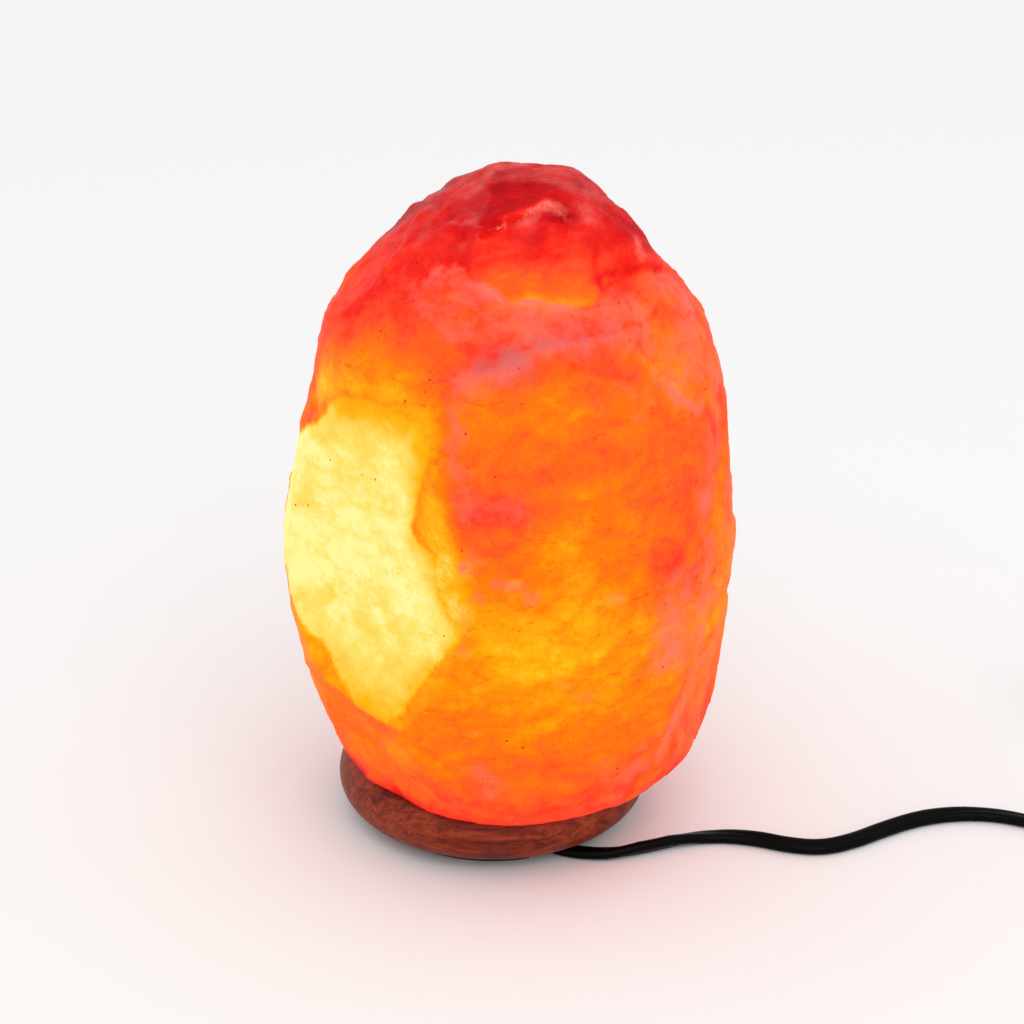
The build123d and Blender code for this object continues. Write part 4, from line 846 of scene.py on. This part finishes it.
class LampFitting(bpy.types.Operator):
    """Finish the clip-in plate, the holder and its contacts"""

    bl_idname = "saltlamp.fitting"
    bl_label = "Bulb fitting"

    def execute(self, context):
        brass = metal("Brass", "#d2a95c", 0.3)
        dress(metal("Zinc plate bright", "#c4c4be", 0.34), "holder_plate", "clamp_screws")
        dress(metal("Spring steel", "#a9abad", 0.25), "spring_clips")
        dress(brass, "clip_rivets", "nipple", "nipple_nut", "thread_sleeve", "centre_contact")
        dress(brass, "side_contact", "terminal_screws")
        dress(moulded("Grey nylon clamp", "#8a8a88", 0.5, 500), "cord_clamp")
        resin = moulded("Holder resin", "#171618", 0.32, 300, 0.3)
        dress(resin, "holder_cap", "holder_barrel")
        dress(moulded("Porcelain", "#e6e0d4", 0.35, 260), "holder_core")
        dress(moulded("Core insulation", "#6e3a20", 0.45, 400), "holder_wires")
        return {"FINISHED"}


class LampBulb(bpy.types.Operator):
    """Finish the small screw-cap bulb and light its filament"""

    bl_idname = "saltlamp.bulb"
    bl_label = "Bulb"

    def execute(self, context):
        dress(clear_glass("Bulb glass", "#f6f6f2", 0.22), "bulb_glass")
        dress(clear_glass("Stem glass", "#eceeea", 0.4), "bulb_stem")
        dress(metal("Nickel cap", "#d6d0c2", 0.28), "bulb_cap")
        dress(moulded("Black glass", "#0c0c10", 0.12, 200, 0.6), "bulb_insulator")
        dress(metal("Solder", "#aeb0b1", 0.4), "bulb_contact")
        wire = metal("Tungsten", "#8d8271", 0.4)
        dress(wire, "filament_supports")
        lit = metal("Lit tungsten", "#8d8271", 0.4)
        lit.wear(emission_color=shade("#ffd28a"), emission_strength=6.0)
        dress(lit, "filament")
        return {"FINISHED"}


# ---------- flex ----------
cord_width = 0.0054
cord_thickness = 0.0034
floor_level = cord_thickness / 2
clamp_level = 0.0046
switch_level = 0.0075
switch_line = -0.0460
plug_level = 0.00685
coil_entry_x = 0.3322
coil_entry_y = 0.0175


def laid(*route):
    """The route, with the places that have no height of their own on the floor."""
    return [place if len(place) == 3 else (*place, floor_level) for place in route]


# From the clamp under the base to the switch, in metres.
lead_route = laid(
    (0.00307, -0.01004, clamp_level), (0.00599, -0.0196, clamp_level), (0.0118, -0.0276, 0.0033),
    (0.0196, -0.0335), (0.0296, -0.0372), (0.0402, -0.0372), (0.0510, -0.0333), (0.0620, -0.0282),
    (0.0730, -0.0260), (0.0845, -0.0284), (0.0945, -0.0326), (0.1046, -0.0342), (0.1150, -0.0301),
    (0.1260, -0.0224), (0.1380, -0.0156), (0.1510, -0.0122), (0.1640, -0.0130), (0.1770, -0.0186),
    (0.1895, -0.0272), (0.2020, -0.0366, 0.0026), (0.2150, -0.0434, 0.0052),
    (0.2285, switch_line, switch_level), (0.2400, switch_line, switch_level),
)
# How far the flat flex is turned about its own line, by distance to the lamp's right.
lead_twist = (
    (0.02, 0), (0.036, 15), (0.046, 52), (0.056, 50), (0.068, 5), (0.085, -26), (0.14, -30),
    (0.158, -8), (0.172, 0),
)
# From the switch to the coil.
bridge_route = laid(
    (0.2840, switch_line, switch_level), (0.2950, switch_line, switch_level),
    (0.3074, -0.0422, 0.0055), (0.3194, -0.0332, 0.0030), (0.3281, -0.0198),
    (coil_entry_x, -0.0043), (coil_entry_x, coil_entry_y),
)
# The coil, in turns and metres: the lower layer, the climb and the whole, then its spacing.
layer_turns = 3.5
climb_turns = 0.5
coil_turns = 7.25
turn_points = 24
coil_pitch = 0.0061
coil_inner = 0.0215
coil_rise = 0.00405
coil_dip = coil_pitch * climb_turns / 4
coil_start = coil_inner + coil_dip + coil_pitch * layer_turns
coil_middle = (coil_entry_x - coil_start, coil_entry_y + cord_width)
# From the coil into the plug: the stretch between two places, and the shift onto its middle.
tail_step = 0.006
tail_shift = 0.0006
# The flex's section: the steps round each edge, and the groove between the cores in shares of
# the flat's half width and of the half height.
edge_steps = 8
groove = ((0.35, 0.985), (0.0, 0.93), (-0.35, 0.985))


def coil_route():
    """Two layers of turns: in along the floor, up in the half turn that reverses, and out."""
    points = []
    climbed = layer_turns + climb_turns
    for index in range(1, round(coil_turns * turn_points) + 1):
        turn = index / turn_points
        if turn < layer_turns:
            radius = coil_start - coil_pitch * turn
        elif turn < climbed:
            middle = layer_turns + climb_turns / 2
            radius = coil_inner + coil_pitch / climb_turns * (turn - middle) ** 2
        else:
            radius = coil_inner + coil_dip + coil_pitch * (turn - climbed)
        lift = coil_rise * smoothstep(turn, layer_turns, climbed)
        angle = 2 * pi * turn
        x = coil_middle[0] + radius * cos(angle)
        y = coil_middle[1] + radius * sin(angle)
        points.append((x, y, floor_level + lift))
    end_x, end_y, top = points[-1]
    tail = [
        (end_x - cord_width, end_y, top),
        (end_x - cord_width - tail_step, end_y, top),
        (end_x - cord_width - tail_step * 2, end_y + tail_shift, plug_level),
        (end_x - cord_width - tail_step * 3, end_y + tail_shift, plug_level),
    ]
    return laid((coil_entry_x, coil_middle[1]), *points, *tail)


def smooth_line(name, route, steps):
    """Points along the smooth line that these points control."""
    curve = bpy.data.curves.new(name, "CURVE")
    curve.dimensions = "3D"
    curve.resolution_u = steps
    spline = curve.splines.new("NURBS")
    spline.points.add(len(route) - 1)
    for point, place in zip(spline.points, route):
        point.co = (*place, 1.0)
    spline.order_u = 3
    spline.use_endpoint_u = True
    holder = new_piece(name, curve)
    bpy.context.view_layer.update()
    mesh = bpy.data.meshes.new_from_object(holder)
    line = [vertex.co.copy() for vertex in mesh.vertices]
    bpy.data.objects.remove(holder)
    bpy.data.curves.remove(curve)
    bpy.data.meshes.remove(mesh)
    return line


def flex_section():
    """The flex's section: two round edges, and flats with the cores' shallow groove between."""
    flat_half = (cord_width - cord_thickness) / 2
    radius = cord_thickness / 2
    section = []
    for side in (1, -1):
        for step in range(edge_steps + 1):
            angle = radians(-90 + step * 180 / edge_steps)
            across = side * (flat_half + radius * cos(angle))
            section.append((across, side * radius * sin(angle)))
        for across, up in groove:
            section.append((side * flat_half * across, side * radius * up))
    return section


def flat_flex(name, line, twist):
    """A flat two-core flex along a line, turned about the line by twist(place) degrees."""
    flat_half = (cord_width - cord_thickness) / 2
    section = flex_section()
    shape = bmesh.new()
    rings = []
    for index, place in enumerate(line):
        before = line[max(index - 1, 0)]
        after = line[min(index + 1, len(line) - 1)]
        heading = (after - before).normalized()
        level = Vector((-heading.y, heading.x, 0)).normalized()
        rise = heading.cross(level)
        turn = radians(twist(place))
        wide = level * cos(turn) + rise * -sin(turn)
        tall = level * sin(turn) + rise * cos(turn)
        wide, tall = (wide, tall) if tall.z >= 0 else (-wide, -tall)
        centre = place + Vector((0, 0, flat_half * abs(sin(turn))))
        places = [centre + wide * across + tall * up for across, up in section]
        rings.append([shape.verts.new(corner) for corner in places])
    for ring, following in zip(rings, rings[1:]):
        for index in range(len(ring)):
            after = (index + 1) % len(ring)
            shape.faces.new((ring[index], ring[after], following[after], following[index]))
    shape.faces.new(reversed(rings[0]))
    shape.faces.new(rings[-1])
    bmesh.ops.recalc_face_normals(shape, faces=shape.faces)
    mesh = bpy.data.meshes.new(name)
    shape.to_mesh(mesh)
    shape.free()
    mesh.shade_smooth()
    return new_piece(name, mesh)


def black_flex():
    """Smooth black PVC with a soft shine and faint draw lines."""
    finish = Finish("Black flex")
    marks = finish.cloud(140, 4, 0.6)
    tooth = finish.cloud(2600, 2, 0.5)
    finish.wear(
        base_color=finish.mix(marks * 0.4, "#020102", "#080506"),
        specular_ior_level=0.06,
        roughness=0.28 + (marks - 0.5) * 0.2,
        normal=finish.bump(tooth, 0.00003, 0.4),
    )
    return finish


def lead_turn(place):
    """The lead's turn about its own line at a place on the floor, in degrees."""
    distances, degrees = zip(*lead_twist)
    return float(np.interp(place.x, distances, degrees))


class LampCord(bpy.types.Operator):
    """Lay the flat flex from the clamp to the switch, and on through its coil to the plug"""

    bl_idname = "saltlamp.cord"
    bl_label = "Flex"

    def execute(self, context):
        sheath = black_flex()
        lead_line = smooth_line("lead_line", lead_route, steps=10)
        lead = flat_flex("flex_to_switch", lead_line, lead_turn)
        clothe(lead, sheath)
        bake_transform(lead)
        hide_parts("cord_in_base", "cord_lead")
        supply_line = smooth_line("supply_line", bridge_route + coil_route(), steps=4)
        supply = flat_flex("flex_to_plug", supply_line, lambda place: 0.0)
        clothe(supply, sheath)
        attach(supply, "root")
        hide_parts("cord_bridge", "cord_coil", "cord_tail")
        return {"FINISHED"}


class LampSwitch(bpy.types.Operator):
    """Finish the in-line switch and its contacts"""

    bl_idname = "saltlamp.switch"
    bl_label = "Switch"

    def execute(self, context):
        shell = moulded("Switch shell", "#141315", 0.42, 500, 0.1)
        dress(shell, "switch_lower_shell", "switch_upper_shell")
        dress(moulded("Switch rocker", "#18171a", 0.3, 400, 0.3), "switch_rocker")
        dress(metal("Switch steel", "#b9b8b2", 0.36), "shell_screws", "rocker_pin")
        brass = metal("Switch brass", "#d2a95c", 0.3)
        dress(brass, "contact_blade", "contact_out", "contact_in", "contact_screws")
        dress(moulded("Blue insulation", "#1d3a6e", 0.45, 400), "neutral_link")
        return {"FINISHED"}


class LampPlug(bpy.types.Operator):
    """Finish the plug, its pins and the strain relief"""

    bl_idname = "saltlamp.plug"
    bl_label = "Plug"

    def execute(self, context):
        dress(moulded("Plug body", "#131214", 0.48, 500), "plug_body", "plug_strain_relief")
        dress(moulded("Pin sleeve", "#111012", 0.4, 600), "pin_sleeves")
        dress(metal("Pin nickel", "#d2cdbf", 0.25), "plug_pins")
        return {"FINISHED"}


# ---------- stage ----------
floor_radius = 6.0
# The lamp overhead: its size, its place and the place that it is aimed at, in metres.
overhead = (1.6, (0.3, -1.3, 1.6), (0, 0, 0.1))
# The photograph's camera: its place in metres, its tilt, and its focal length in pixels.
camera_place = (0.0062, -0.8575, 0.4946)
camera_tilt = 65.5
focal_pixels = 3000
picture_pixels = 1024
sensor_width = 36.0


class StageSettings(bpy.types.PropertyGroup):
    """Floor, light and camera."""

    floor_colour: bpy.props.FloatVectorProperty(
        name="Floor", description="Colour of the floor and of the background",
        default=shade("#e9e9e9")[:3], size=3, subtype="COLOR", min=0, max=1,
    )
    sky: bpy.props.FloatProperty(
        name="Sky", description="Strength of the even light", default=1.05, min=0, max=5,
    )
    key: bpy.props.FloatProperty(
        name="Key light", description="Power of the large lamp overhead",
        default=9.5, unit="POWER", min=0, max=500,
    )


class LampStage(bpy.types.Operator):
    """Set the floor, the soft lights and the camera"""

    bl_idname = "saltlamp.stage"
    bl_label = "Stage"

    def execute(self, context):
        settings = context.scene.salt_stage
        colour = (*settings.floor_colour, 1.0)
        shape = bmesh.new()
        bmesh.ops.create_circle(shape, cap_ends=True, segments=96, radius=floor_radius)
        mesh = bpy.data.meshes.new("floor")
        shape.to_mesh(mesh)
        shape.free()
        floor = new_piece("floor", mesh)
        finish = Finish("Pale floor", base_color=colour, roughness=1.0, specular_ior_level=0.0)
        clothe(floor, finish)
        world = bpy.data.worlds.new("Studio")
        world.use_nodes = True
        background = world.node_tree.nodes["Background"]
        background.inputs["Color"].default_value = (1, 1, 1, 1)
        background.inputs["Strength"].default_value = settings.sky
        context.scene.world = world
        size, place, aim = overhead
        light = bpy.data.lights.new("Overhead", "AREA")
        light.energy = settings.key
        light.shape = "SQUARE"
        light.size = size
        lamp = new_piece("Overhead", light)
        lamp.location = place
        lamp.rotation_euler = (Vector(aim) - Vector(place)).to_track_quat("-Z", "Y").to_euler()
        camera_data = bpy.data.cameras.new("Camera")
        camera_data.sensor_width = sensor_width
        camera_data.lens = focal_pixels / picture_pixels * sensor_width
        camera_data.clip_end = 50
        camera = new_piece("Camera", camera_data)
        camera.location = camera_place
        camera.rotation_euler = (radians(camera_tilt), 0, 0)
        context.scene.camera = camera
        context.scene.view_settings.view_transform = "Standard"
        return {"FINISHED"}


class LampPanel(bpy.types.Panel):
    """The lamp's pieces and settings"""

    bl_idname = "SALTLAMP_PT_panel"
    bl_label = "Salt Lamp"
    bl_space_type = "VIEW_3D"
    bl_region_type = "UI"
    bl_category = "Salt Lamp"

    def draw(self, context):
        layout = self.layout
        for settings in (context.scene.salt_crystal, context.scene.salt_stage):
            for name in settings.__annotations__:
                layout.prop(settings, name)
        for operator in operators:
            layout.operator(operator.bl_idname)


operators = (
    LampCord, LampCrystal, LampBase, LampFitting, LampBulb, LampSwitch, LampPlug, LampStage,
)
groups = {"salt_crystal": CrystalSettings, "salt_stage": StageSettings}


def register():
    for name, group in groups.items():
        bpy.utils.register_class(group)
        setattr(bpy.types.Scene, name, bpy.props.PointerProperty(type=group))
    for operator in operators:
        bpy.utils.register_class(operator)
    bpy.utils.register_class(LampPanel)


def unregister():
    bpy.utils.unregister_class(LampPanel)
    for operator in reversed(operators):
        bpy.utils.unregister_class(operator)
    for name, group in reversed(groups.items()):
        delattr(bpy.types.Scene, name)
        bpy.utils.unregister_class(group)


def main():
    register()
    for step in (
        bpy.ops.saltlamp.stage, bpy.ops.saltlamp.cord, bpy.ops.saltlamp.crystal,
        bpy.ops.saltlamp.base, bpy.ops.saltlamp.fitting, bpy.ops.saltlamp.bulb,
        bpy.ops.saltlamp.switch, bpy.ops.saltlamp.plug,
    ):
        step()


if __name__ == "__main__":
    main()
